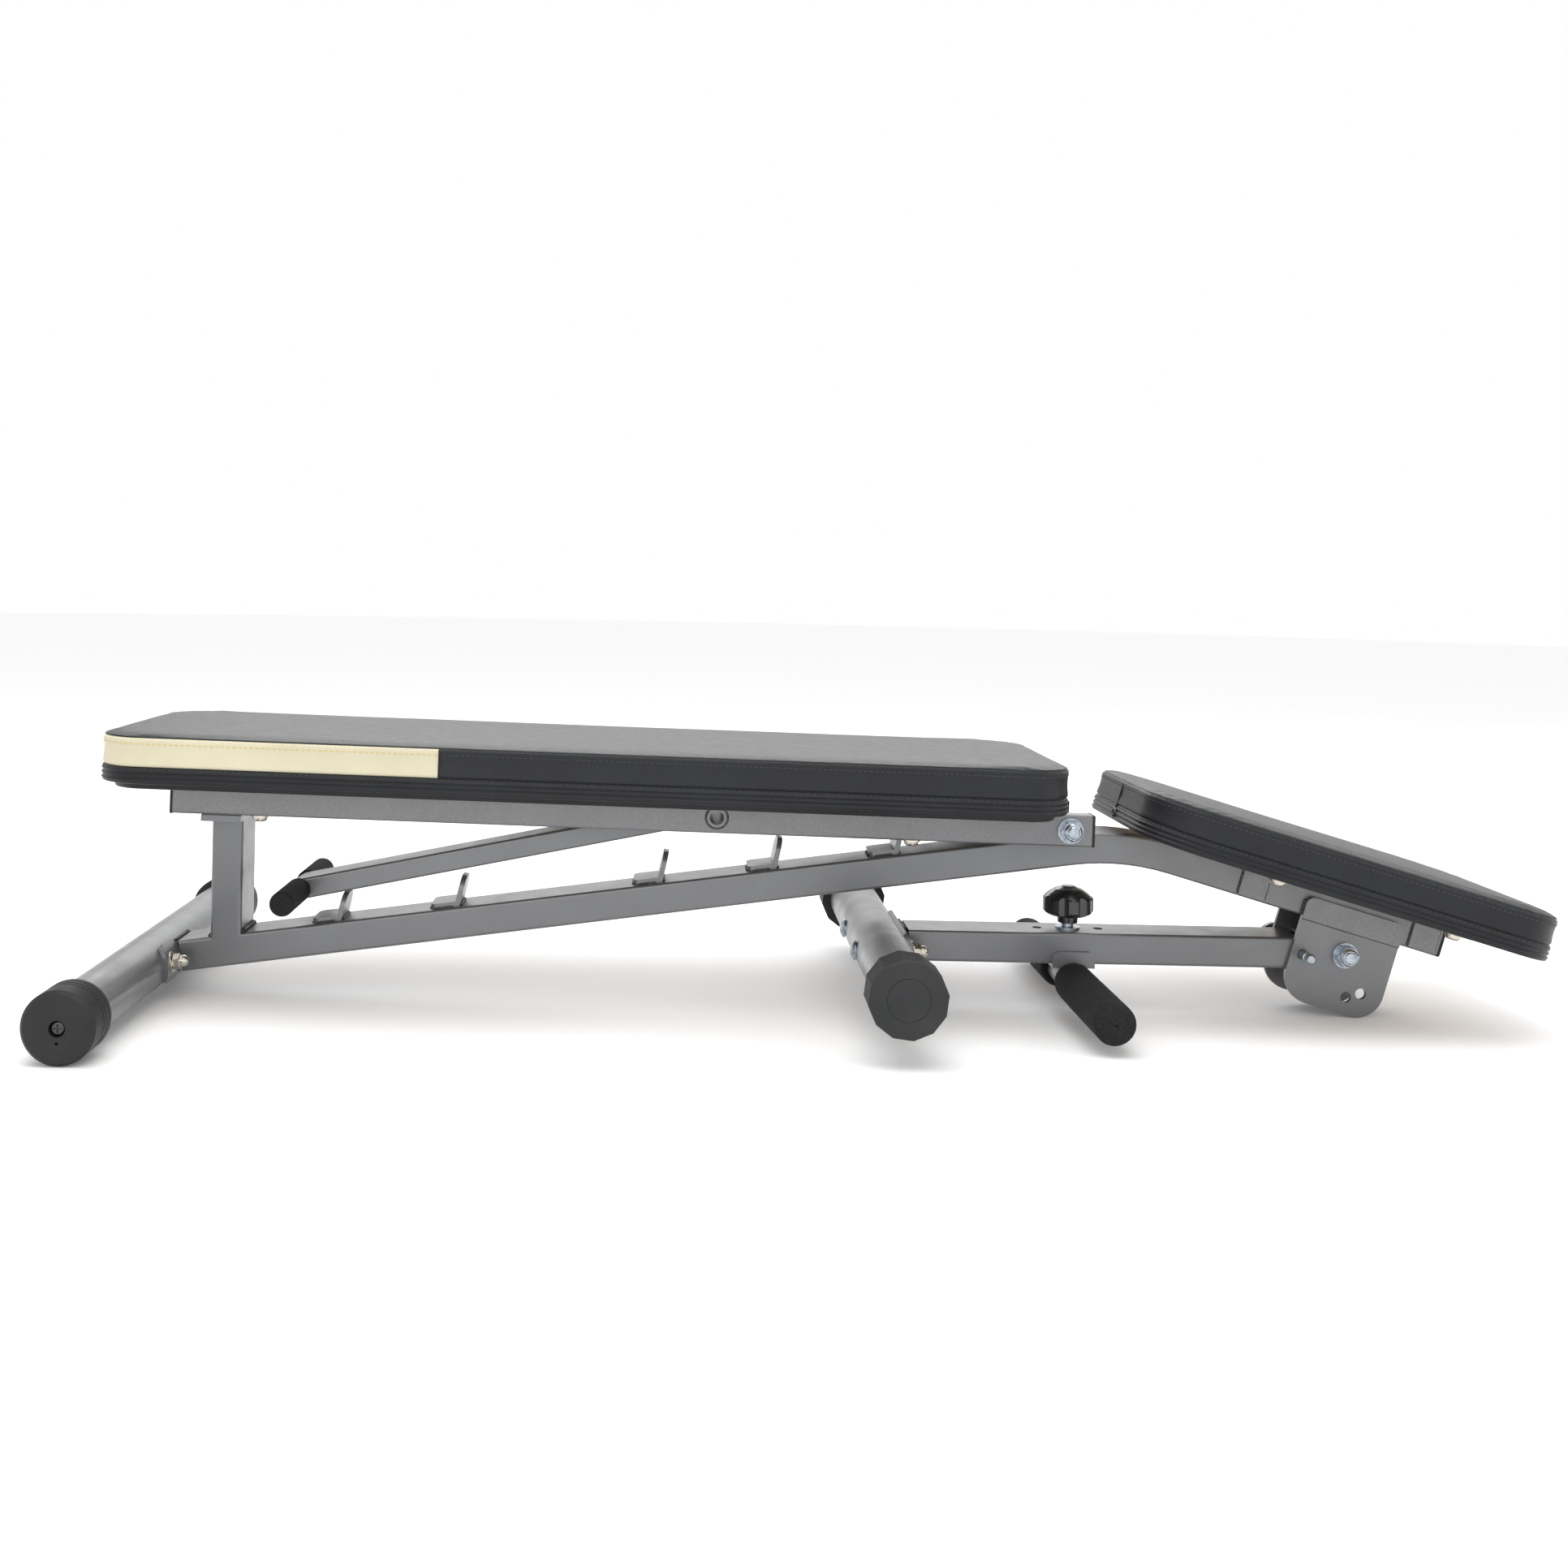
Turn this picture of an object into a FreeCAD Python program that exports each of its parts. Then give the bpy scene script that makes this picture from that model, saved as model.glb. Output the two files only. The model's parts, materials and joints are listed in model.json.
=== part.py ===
"""Folding, adjustable weight bench with its front leg folded under the frame.

Millimetres, +Z up.  X runs from the rear wheels (-X) to the seat (+X) and the
bench is symmetric about Y = 0.  The origin is on the floor under the middle of
the bench.  Each moving assembly is written in its own tilted (u, y, w) frame,
where u runs along the member and w is square to its top face.
"""
import FreeCAD, Part
import math
import os

V = FreeCAD.Vector
ORIGIN = V(0, 0, 0)
ACROSS = V(0, 1, 0)
UP = V(0, 0, 1)

# ---------------------------------------------------------------- dimensions
# Rear foot: round tube with a transport wheel on each end.
WHEEL_R = 31.5
WHEEL_LENGTH = 41.0
WHEEL_OVERLAP = 12.0
WHEEL_FACE_Y = 264.0
AXLE_R = 8.0
FOOT_R = 25.4
FOOT_WALL = 1.5
REAR_FOOT_X = -648.31

# Saddle plates that wrap the foot tubes, and their bolts.
SADDLE_T = 4.0
SADDLE_HALF_Y = 62.0
SADDLE_HALF_ANGLE = 40.0
FOOT_BOLT_Y = 48.0
FOOT_BOLT_R = 4.0

# Main beam: one bent 50 x 30 tube, the ladder at the rear, the seat in front.
BEAM_WIDTH = 50.0
BEAM_HEIGHT = 30.0
BEAM_WALL = 2.0
BEAM_CORNER = 3.0
LADDER_TILT = 7.93
SEAT_TILT = -16.0
KNEE_U = 951.1
KNEE_R = 240.0
SEAT_TUBE_LENGTH = 322.0

# Ladder prongs: bent plates that catch the prop's cross bar.
PRONG_U = (187.4, 303.4, 502.3, 614.4, 734.1)
PRONG_T = 5.0
PRONG_BASE = 28.0
PRONG_RISE = (20.3, 23.3, 23.3, 23.3, 23.3)
PRONG_LEAN = 20.0
PRONG_WIDTH = 38.0
PRONG_TIP_R = 13.0

# Rear post and the rest plate that carries the flat backrest.
POST_X = -575.68
REST_WIDTH = 38.0
REST_HALF_Y = 52.0
REST_OFFSET = 1.0
REST_DEPTH = 7.5
REST_T = 3.0
REST_GAP = 0.3

# Backrest: two rails on one pivot, tilted 1 degree when it lies flat.
PIVOT_X = 232.99
PIVOT_Z = 180.0
BACK_TILT = -1.0
RAIL_REAR_U = -851.5
RAIL_FRONT_U = 20.8
RAIL_HEIGHT = 30.0
RAIL_WIDTH = 20.0
RAIL_INNER_Y = 41.0
RAIL_WALL = 1.5
PIVOT_SLEEVE_R = 10.4
PIVOT_BOLT_R = 6.0
RUNNING_GAP = 0.05
BACK_PAD_REAR_U = -906.7
BACK_PAD_FRONT_U = -11.0
BACK_PAD_HALF_Y = 131.0
BACK_PAD_CORNER = 42.0
BACK_SCREW_U = (-770.0, -149.0)

# Prop: strut, cross bar and grips, hung from a tube through both rails.
PROP_U = -335.3
PROP_LENGTH = 413.0
PROP_TILT = 11.8
PROP_TUBE_R = 9.25
PROP_TUBE_BORE_R = 6.7
STRUT_WIDTH = 40.0
STRUT_HEIGHT = 20.0
STRUT_WALL = 1.5
PROP_SLEEVE_R = 12.5
CROSS_BAR_R = 9.5
CROSS_BAR_HALF_Y = 88.0
GRIP_R = 11.7
GRIP_END_Y = 92.0

# Pads: vinyl over foam on a plywood board.
PAD_EDGE = 39.5
PAD_LIFT = 5.5
SEAT_PAD_EDGE = 40.0
PAD_CROWN = 6.0
BOARD_T = 12.0
BOARD_INSET = 14.0
SEAT_PAD_REAR_U = -332.5
SEAT_PAD_FRONT_U = 61.2
SEAT_PAD_HALF_Y = 131.0
SEAT_PAD_REAR_CORNER = 60.0
SEAT_PAD_FRONT_CORNER = 45.0
CROSS_PLATE_T = 2.5
CROSS_PLATE_WIDTH = 26.0
CROSS_PLATE_HALF_Y = 92.0
CROSS_PLATE_U = (-189.5, -17.0)
SEAT_SCREW_Y = 75.0

# Leg bracket plates under the seat tube, and the leg between them.
LEG_PIVOT_X = 508.69
LEG_PIVOT_Z = 60.0
BRACKET_REAR_U = -137.5
BRACKET_FRONT_U = -39.5
BRACKET_TOP_W = 5.5
BRACKET_STEP_W = -15.5
BRACKET_CORNER = 27.0
BRACKET_T = 4.0
BRACKET_INNER_Y = 25.2
LOCK_RADIUS = 40.4
LOCK_ANGLES = (0.0, 92.5, 113.5)
LOCK_HOLE_R = 5.2
LOCK_PIN_R = 4.75
LEG_WIDTH = 49.2
LEG_TOE = 16.0
FRONT_FOOT_X = 58.09
FRONT_FOOT_HALF_Y = 230.0
FRONT_CAP_LENGTH = 36.0
FRONT_CAP_FLATS = 67.0
FRONT_CAP_SIDES = 12

# Foam foot roll, its bar and the knob that clamps it to the leg.
HOLD_X = 247.02
HOLD_BAR_Z = 28.7
HOLD_BAR_R = 12.5
HOLD_BAR_HALF_Y = 176.0
FOAM_R = 19.0
FOAM_INNER_Y = 26.5
FOAM_END_Y = 180.0
HOLD_PITCH = 30.0
HOLD_HOLE_R = 4.6
KNOB_R = 24.4
KNOB_LOBES = 8
STUD_R = 4.0

os.makedirs("parts", exist_ok=True)


# ------------------------------------------------------------------- helpers
def save(name, *shapes):
    """Write one node; several solids become one compound."""
    shape = shapes[0] if len(shapes) == 1 else Part.Compound(list(shapes))
    shape.exportStep("parts/%s.step" % name)


def mirrored(shape):
    return shape.mirror(ORIGIN, ACROSS)


def tilted(shape, x, z, tilt):
    """Move a shape from a member's (u, y, w) frame into the bench frame."""
    placed = shape.copy()
    moved = FreeCAD.Placement(V(x, 0, z), FreeCAD.Rotation(ACROSS, -tilt))
    placed.Placement = moved.multiply(shape.Placement)
    return placed


def on_ladder(shape):
    return tilted(shape, REAR_FOOT_X, WHEEL_R, LADDER_TILT)


def on_seat(shape):
    return tilted(shape, SEAT_END.x, SEAT_END.z, SEAT_TILT)


def on_back(shape):
    return tilted(shape, PIVOT_X, PIVOT_Z, BACK_TILT)


def on_prop(shape):
    return tilted(shape, PROP_POINT.x, PROP_POINT.z, PROP_TILT)


def on_leg(shape):
    return tilted(shape, LEG_PIVOT_X, LEG_PIVOT_Z, 0)


def along(tilt):
    """Unit vector of a member's u axis in the bench frame."""
    return V(math.cos(math.radians(tilt)), 0, math.sin(math.radians(tilt)))


def block(u0, u1, y0, y1, w0, w1):
    return Part.makeBox(u1 - u0, y1 - y0, w1 - w0, V(u0, y0, w0))


def rod(u, w, radius, y0, y1):
    """Round bar across the bench."""
    return Part.makeCylinder(radius, y1 - y0, V(u, y0, w), ACROSS)


def ring(u, w, outer_r, inner_r, y0, y1):
    return rod(u, w, outer_r, y0, y1).cut(rod(u, w, inner_r, y0 - 1, y1 + 1))


def post_hole(u, y, radius, w0, w1):
    """Round cutter square to a member's top face."""
    return Part.makeCylinder(radius, w1 - w0, V(u, y, w0), UP)


def aimed(shape, base, axis):
    """Turn a shape built up +Z from the origin to start at base, along axis."""
    placed = shape.copy()
    moved = FreeCAD.Placement(base, FreeCAD.Rotation(UP, axis))
    placed.Placement = moved.multiply(shape.Placement)
    return placed


def turned(profile):
    """Solid of revolution about +Z from (radius, height) points."""
    points = [V(r, 0, h) for r, h in profile]
    face = Part.Face(Part.makePolygon(points + points[:1]))
    return face.revolve(ORIGIN, UP, 360)


def prism(sides, flats, height):
    """Regular prism up +Z, measured across its flats."""
    radius = flats / 2 / math.cos(math.pi / sides)
    turn = 2 * math.pi / sides
    points = [V(radius * math.cos(i * turn), radius * math.sin(i * turn), 0)
              for i in range(sides + 1)]
    return Part.Face(Part.makePolygon(points)).extrude(V(0, 0, height))


def rounded_wire(x0, x1, y0, y1, r0, r1):
    """Rectangle with corner radius r0 at its x0 end and r1 at its x1 end."""
    k = math.sqrt(0.5)
    corners = ((x1 - r1, y1 - r1, r1, 1, 1), (x0 + r0, y1 - r0, r0, -1, 1),
               (x0 + r0, y0 + r0, r0, -1, -1), (x1 - r1, y0 + r1, r1, 1, -1))
    ends = []
    for cx, cy, r, sx, sy in corners:
        side = V(cx + sx * r, cy, 0)
        middle = V(cx + sx * k * r, cy + sy * k * r, 0)
        flat = V(cx, cy + sy * r, 0)
        ends.append((side, middle, flat) if sx == sy else (flat, middle, side))
    edges = []
    for i, (start, middle, end) in enumerate(ends):
        edges.append(Part.Arc(start, middle, end).toShape())
        edges.append(Part.makeLine(end, ends[(i + 1) % 4][0]))
    return Part.Wire(edges)


def plate_shape(x0, x1, y0, y1, r0, r1, z0, z1):
    face = Part.Face(rounded_wire(x0, x1, y0, y1, r0, r1))
    face.translate(V(0, 0, z0))
    return face.extrude(V(0, 0, z1 - z0))


def box_tube(u0, u1, width, height, wall, corner):
    """Rectangular tube along u with rounded outer corners."""
    outer = block(u0, u1, -width / 2, width / 2, -height / 2, height / 2)
    lengthwise = [e for e in outer.Edges if abs(e.tangentAt(e.FirstParameter).x) > 0.9]
    outer = outer.makeFillet(corner, lengthwise)
    inner = block(u0 - 1, u1 + 1, wall - width / 2, width / 2 - wall,
                  wall - height / 2, height / 2 - wall)
    return outer.cut(inner)


# ----------------------------------------------------------------- fasteners
def washer(outer_r, inner_r, thickness):
    return turned([(inner_r, 0), (outer_r, 0), (outer_r, thickness), (inner_r, thickness)])


def locknut(flats, height, bore_r):
    """Nyloc nut: hexagon with a rounded collar over the insert."""
    collar_r = flats / 2 * 0.93
    hexagon = prism(6, flats, height * 0.68)
    chamfer = turned([(0, 0), (flats / 2 * 1.05, 0), (flats / 2 * 1.16, height * 0.07),
                      (flats / 2 * 1.16, height * 0.61), (flats / 2 * 1.05, height * 0.68),
                      (0, height * 0.68)])
    collar = turned([(0, height * 0.6), (collar_r, height * 0.6), (collar_r, height * 0.86),
                     (collar_r * 0.8, height), (0, height)])
    nut = hexagon.common(chamfer).fuse(collar)
    return nut.cut(Part.makeCylinder(bore_r, height * 2, V(0, 0, -1)))


def hex_bolt(flats, head, radius, length):
    """Hexagon bolt: the head is below z = 0 and the shank runs up +Z."""
    chamfer = turned([(0, -head), (flats / 2 * 0.94, -head), (flats / 2 * 1.16, -head * 0.8),
                      (flats / 2 * 1.16, 0), (0, 0)])
    hexagon = prism(6, flats, head)
    hexagon.translate(V(0, 0, -head))
    shank = turned([(0, 0), (radius, 0), (radius, length - 1), (radius - 1, length),
                    (0, length)])
    return hexagon.common(chamfer).fuse(shank)


def carriage_bolt(radius, length):
    """Mushroom-headed bolt: head below z = 0, shank up +Z."""
    head_r = radius * 2.4
    dome = Part.makeSphere(head_r * 1.35, V(0, 0, head_r * 1.35 - head_r * 0.52))
    head = dome.common(Part.makeCylinder(head_r, head_r, V(0, 0, -head_r)))
    shank = turned([(0, 0), (radius, 0), (radius, length - 1), (radius - 1, length),
                    (0, length)])
    return head.fuse(shank)


def acorn_nut(flats, bore_r, shank_depth):
    """Domed nut seated on z = 0, with a blind hole for the bolt's end."""
    hexagon = prism(6, flats, flats * 0.5)
    chamfer = turned([(0, 0), (flats / 2 * 1.05, 0), (flats / 2 * 1.16, flats * 0.04),
                      (flats / 2 * 1.16, flats * 0.42), (flats / 2 * 0.98, flats * 0.5),
                      (0, flats * 0.5)])
    neck = Part.makeCylinder(flats * 0.42, flats * 0.66)
    dome = Part.makeSphere(flats * 0.42, V(0, 0, flats * 0.66))
    nut = hexagon.common(chamfer).fuse([neck, dome])
    return nut.removeSplitter().cut(Part.makeCylinder(bore_r, shank_depth + 1, V(0, 0, -1)))


def pan_screw(head_r, head, radius, length):
    """Pan-head machine screw with a cross recess; head below z = 0."""
    blank = Part.makeCylinder(head_r, head, V(0, 0, -head))
    rim = [e for e in blank.Edges if abs(e.CenterOfMass.z + head) < 0.01]
    blank = blank.makeFillet(head * 0.8, rim)
    slot = head_r * 0.55
    cross = block(-slot, slot, -0.6, 0.6, -head - 1, -head * 0.5)
    cross = cross.fuse(block(-0.6, 0.6, -slot, slot, -head - 1, -head * 0.5))
    return blank.cut(cross).fuse(Part.makeCylinder(radius, length))


def t_nut(bore_r):
    """Flanged insert for a plywood board: flange on z = 0, barrel down -Z."""
    flange = washer(bore_r * 2.4, bore_r, 1.5)
    barrel = washer(bore_r * 1.35, bore_r, 8.0)
    barrel.translate(V(0, 0, -8.0))
    return flange.fuse(barrel)


# -------------------------------------------------------- derived key points
FOOT_POINT = V(REAR_FOOT_X, 0, WHEEL_R)
KNEE = FOOT_POINT + along(LADDER_TILT) * KNEE_U
SEAT_END = KNEE + along(SEAT_TILT) * SEAT_TUBE_LENGTH
PROP_POINT = V(PIVOT_X, 0, PIVOT_Z) + along(BACK_TILT) * PROP_U
RAIL_OUTER_Y = RAIL_INNER_Y + RAIL_WIDTH
RAIL_MID_Y = RAIL_INNER_Y + RAIL_WIDTH / 2
BEAM_TOP = BEAM_HEIGHT / 2


# ---------------------------------------------------------------- main frame
def foot_bolt_holes(axis, centre):
    """Cutters for the two bolts that clamp a foot tube to its saddle."""
    start = centre - axis * 2 * FOOT_R
    return [Part.makeCylinder(FOOT_BOLT_R + 0.1, 4 * FOOT_R, start + ACROSS * y, axis)
            for y in (FOOT_BOLT_Y, -FOOT_BOLT_Y)]


def saddle_plate(centre, tilt):
    """Arc-shaped plate round the side of a foot tube that faces the member."""
    band = rod(0, 0, FOOT_R + SADDLE_T, -SADDLE_HALF_Y, SADDLE_HALF_Y)
    band = band.cut(rod(0, 0, FOOT_R, -SADDLE_HALF_Y - 1, SADDLE_HALF_Y + 1))
    reach = FOOT_R * 2
    half = math.radians(SADDLE_HALF_ANGLE)
    wedge = Part.makePolygon([ORIGIN, V(reach * math.cos(half), 0, reach * math.sin(half)),
                              V(reach * 1.6, 0, 0),
                              V(reach * math.cos(half), 0, -reach * math.sin(half)), ORIGIN])
    wedge = Part.Face(wedge).extrude(ACROSS * 2 * SADDLE_HALF_Y)
    wedge.translate(ACROSS * -SADDLE_HALF_Y)
    corner = 14.0
    height = (FOOT_R + SADDLE_T) * math.sin(half)
    rounded = plate_shape(-height, height, -SADDLE_HALF_Y, SADDLE_HALF_Y, corner, corner,
                          0, reach)
    rounded.rotate(ORIGIN, ACROSS, 90)
    plate = band.common(wedge).common(rounded)
    plate = tilted(plate, centre.x, centre.z, tilt)
    for hole in foot_bolt_holes(along(tilt), centre):
        plate = plate.cut(hole)
    return plate


def curved_washer(y, direction):
    """Washer bent to sit on the saddle; local +X points away from the tube."""
    inner = FOOT_R + SADDLE_T
    arc = rod(0, 0, inner + 1.5, y - 10, y + 10).cut(rod(0, 0, inner, y - 11, y + 11))
    disc = Part.makeCylinder(10, 3 * FOOT_R, V(0, y, 0), direction)
    hole = Part.makeCylinder(FOOT_BOLT_R, 3 * FOOT_R, V(0, y, 0), direction)
    return arc.common(disc).cut(hole)


def foot_hardware(centre, tilt):
    """Carriage bolts, curved washers and domed nuts of one foot tube."""
    axis = along(tilt)
    seat = FOOT_R + SADDLE_T + 1.5
    bolts = []
    nuts = []
    for y in (FOOT_BOLT_Y, -FOOT_BOLT_Y):
        head = carriage_bolt(FOOT_BOLT_R, FOOT_R + seat + 9)
        head = aimed(head, centre + ACROSS * y - axis * FOOT_R, axis)
        bolts.append(head.cut(rod(centre.x, centre.z, FOOT_R, y - 20, y + 20).cut(
            Part.makeCylinder(FOOT_BOLT_R, 4 * FOOT_R, centre + ACROSS * y - axis * FOOT_R * 2,
                              axis))))
        ring_washer = tilted(curved_washer(y, V(1, 0, 0)), centre.x, centre.z, tilt)
        nut = aimed(acorn_nut(13.0, FOOT_BOLT_R, 10.0), centre + ACROSS * y + axis * seat, axis)
        nuts.extend([ring_washer, nut])
    return bolts, nuts


def foot_tube(centre, tilt, half_length):
    tube = ring(centre.x, centre.z, FOOT_R, FOOT_R - FOOT_WALL, -half_length, half_length)
    for hole in foot_bolt_holes(along(tilt), centre):
        tube = tube.cut(hole)
    return tube


def beam_section(width, height, corner):
    section = rounded_wire(-height / 2, height / 2, -width / 2, width / 2, corner, corner)
    section.Placement = FreeCAD.Placement(ladder_start, FreeCAD.Rotation(ACROSS, 90 - LADDER_TILT))
    return section


def beam_solid(path, width, height, corner):
    return path.makePipeShell([beam_section(width, height, corner)], True, False)


ladder_start = FOOT_POINT + along(LADDER_TILT) * (FOOT_R + SADDLE_T)
tangent = KNEE_R * math.tan(math.radians(LADDER_TILT - SEAT_TILT) / 2)
bend_start = KNEE - along(LADDER_TILT) * tangent
bend_end = KNEE + along(SEAT_TILT) * tangent
bend_centre = bend_start + V(math.sin(math.radians(LADDER_TILT)), 0,
                             -math.cos(math.radians(LADDER_TILT))) * KNEE_R
bend_middle = bend_centre + (KNEE - bend_centre).normalize() * KNEE_R
beam_path = Part.Wire([Part.makeLine(ladder_start, bend_start),
                       Part.Arc(bend_start, bend_middle, bend_end).toShape(),
                       Part.makeLine(bend_end, SEAT_END)])
beam_outer = beam_solid(beam_path, BEAM_WIDTH, BEAM_HEIGHT, BEAM_CORNER)
beam_inner = beam_solid(beam_path, BEAM_WIDTH - 2 * BEAM_WALL, BEAM_HEIGHT - 2 * BEAM_WALL, 1.0)
save("main_beam", beam_outer.cut(beam_inner))


def tube_plug(width, height, rim, core):
    """Plug for the end of a rectangular tube; the rim is above z = 0."""
    core_x = height / 2 - BEAM_WALL
    core_y = width / 2 - BEAM_WALL
    plug = plate_shape(-height / 2, height / 2, -width / 2, width / 2, BEAM_CORNER,
                       BEAM_CORNER, 0, rim)
    return plug.fuse(plate_shape(-core_x, core_x, -core_y, core_y, 1.0, 1.0, -core, 0))


save("beam_end_plug", aimed(tube_plug(BEAM_WIDTH, BEAM_HEIGHT, 3.0, 18.0), SEAT_END,
                            along(SEAT_TILT)))

# Rear foot, its saddle and hardware.
rear_tube_half = WHEEL_FACE_Y - WHEEL_LENGTH + WHEEL_OVERLAP
save("rear_foot_tube", foot_tube(FOOT_POINT, LADDER_TILT, rear_tube_half))
save("rear_saddle_plate", saddle_plate(FOOT_POINT, LADDER_TILT))
rear_bolts, rear_nuts = foot_hardware(FOOT_POINT, LADDER_TILT)
save("rear_foot_bolts", *rear_bolts)
save("rear_foot_nuts", *rear_nuts)


# Prongs.
def prong(u, rise):
    half = PRONG_WIDTH / 2
    base = plate_shape(u - PRONG_BASE, u, -half, half, 6, 0.5, BEAM_TOP, BEAM_TOP + PRONG_T)
    wide = plate_shape(0, rise + PRONG_T, -half, half, 0.5, PRONG_TIP_R,
                       0, PRONG_T)
    wide.rotate(ORIGIN, ACROSS, -90 + PRONG_LEAN)
    wide.translate(V(u, 0, BEAM_TOP))
    keep = block(u - PRONG_BASE, u + 3 * PRONG_BASE, -half, half, BEAM_TOP, BEAM_TOP * 4)
    return base.fuse(wide.common(keep)).removeSplitter()


save("ladder_prongs", *[on_ladder(prong(u, rise)) for u, rise in zip(PRONG_U, PRONG_RISE)])

# Rear post and rest plate.
rest_u = (POST_X + REST_OFFSET - PIVOT_X) / math.cos(math.radians(BACK_TILT))
rest_top = -RAIL_HEIGHT / 2 - REST_GAP
rest_plate = block(rest_u - REST_WIDTH / 2, rest_u + REST_WIDTH / 2, -REST_HALF_Y, REST_HALF_Y,
                   rest_top - REST_DEPTH, rest_top)
rest_plate = rest_plate.makeFillet(2.5, [e for e in rest_plate.Edges
                                         if e.CenterOfMass.z > rest_top - 0.1])
rest_plate = rest_plate.cut(block(rest_u - REST_WIDTH / 2 + REST_T,
                                  rest_u + REST_WIDTH / 2 - REST_T,
                                  REST_T - REST_HALF_Y, REST_HALF_Y - REST_T,
                                  rest_top - REST_DEPTH - 1, rest_top - REST_T))
rest_plate = on_back(rest_plate)
save("rest_plate", rest_plate)
post = box_tube(0, 200, BEAM_WIDTH, BEAM_HEIGHT, BEAM_WALL, BEAM_CORNER)
post.rotate(ORIGIN, ACROSS, -90)
post.translate(V(POST_X, 0, 20))
under_rest = on_back(block(rest_u - 60, rest_u + 60, -40, 40, rest_top - REST_T, rest_top + 80))
post = post.cut(under_rest).cut(beam_outer)
save("rear_post", max(post.Solids, key=lambda solid: solid.Volume))

# Sleeve on top of the beam for the backrest pivot bolt.
sleeve_half = RAIL_INNER_Y - 0.5
save("backrest_pivot_sleeve", ring(PIVOT_X, PIVOT_Z, PIVOT_SLEEVE_R,
                                   PIVOT_BOLT_R + RUNNING_GAP, -sleeve_half, sleeve_half))


# ---------------------------------------------------------------- rear wheels
def rear_wheel():
    """Wheel for the +Y end, built along +Y from its inner rim."""
    length = WHEEL_LENGTH
    socket = FOOT_R + 0.6
    bore = AXLE_R + RUNNING_GAP
    groove = 1.0
    profile = [(bore, WHEEL_OVERLAP + 1), (socket, WHEEL_OVERLAP + 1), (socket, 0),
               (WHEEL_R - 1, 0), (WHEEL_R, 1)]
    for start in (6.0, 12.0, 18.0):
        profile += [(WHEEL_R, start), (WHEEL_R - groove, start + 0.6),
                    (WHEEL_R - groove, start + 1.4), (WHEEL_R, start + 2.0)]
    profile += [(WHEEL_R, length - 3), (WHEEL_R - 3, length), (7.0, length),
                (7.0, length - 5), (bore, length - 5)]
    wheel = turned(profile)
    vent = Part.makeCylinder(1.3, 6, V(0, 12, length - 5))
    return wheel.cut(vent)


wheel_start = WHEEL_FACE_Y - WHEEL_LENGTH
wheel_far = aimed(rear_wheel(), FOOT_POINT + ACROSS * wheel_start, ACROSS)
save("wheel_far", wheel_far)
save("wheel_near", mirrored(wheel_far))

# Stub axle pressed into each end of the rear foot, and its retaining screw.
axle_end = WHEEL_LENGTH - 5.3
stub = turned([(0, -40), (FOOT_R - FOOT_WALL, -40), (FOOT_R - FOOT_WALL, WHEEL_OVERLAP),
               (AXLE_R, WHEEL_OVERLAP), (AXLE_R, axle_end), (0, axle_end)])
stub = stub.cut(Part.makeCylinder(2.5, 30, V(0, 0, axle_end - 22)))
stub = aimed(stub, FOOT_POINT + ACROSS * wheel_start, ACROSS)
save("wheel_axles", stub, mirrored(stub))
axle_screw = pan_screw(6.4, 3.2, 2.5, 20)
axle_screw = aimed(axle_screw, FOOT_POINT + ACROSS * (wheel_start + axle_end), ACROSS * -1)
save("wheel_screws", axle_screw, mirrored(axle_screw))


# ------------------------------------------------------------------ backrest
def rail():
    """Backrest rail on the +Y side, with its pivot, prop and screw holes."""
    tube = box_tube(RAIL_REAR_U, RAIL_FRONT_U, RAIL_WIDTH, RAIL_HEIGHT, RAIL_WALL, 2.5)
    tube.translate(ACROSS * RAIL_MID_Y)
    tube = tube.cut(rod(0, 0, PIVOT_BOLT_R, 0, 2 * RAIL_OUTER_Y))
    tube = tube.cut(rod(PROP_U, 0, PROP_TUBE_R, 0, 2 * RAIL_OUTER_Y))
    for u in BACK_SCREW_U:
        tube = tube.cut(post_hole(u, RAIL_MID_Y, 3.0, -RAIL_HEIGHT, RAIL_HEIGHT))
    return tube


rail_far = rail()
save("backrest_rail_far", on_back(rail_far))
save("backrest_rail_near", on_back(mirrored(rail_far)))


def rail_plug(u, direction):
    """Square plug with a thin rim for one end of a +Y rail."""
    rim = block(0, 3.0, -RAIL_WIDTH / 2, RAIL_WIDTH / 2, -RAIL_HEIGHT / 2, RAIL_HEIGHT / 2)
    rim = rim.makeFillet(1.0, [e for e in rim.Edges if e.CenterOfMass.x > 2.9])
    core = block(-14, 0, RAIL_WALL - RAIL_WIDTH / 2, RAIL_WIDTH / 2 - RAIL_WALL,
                 RAIL_WALL - RAIL_HEIGHT / 2, RAIL_HEIGHT / 2 - RAIL_WALL)
    plug = rim.fuse(core)
    if direction < 0:
        plug.rotate(ORIGIN, UP, 180)
    plug.translate(V(u, RAIL_MID_Y, 0))
    return plug


rail_plugs = [rail_plug(RAIL_REAR_U, -1), rail_plug(RAIL_FRONT_U, 1)]
save("rail_end_plugs", *[on_back(p) for plug in rail_plugs for p in (plug, mirrored(plug))])

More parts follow.
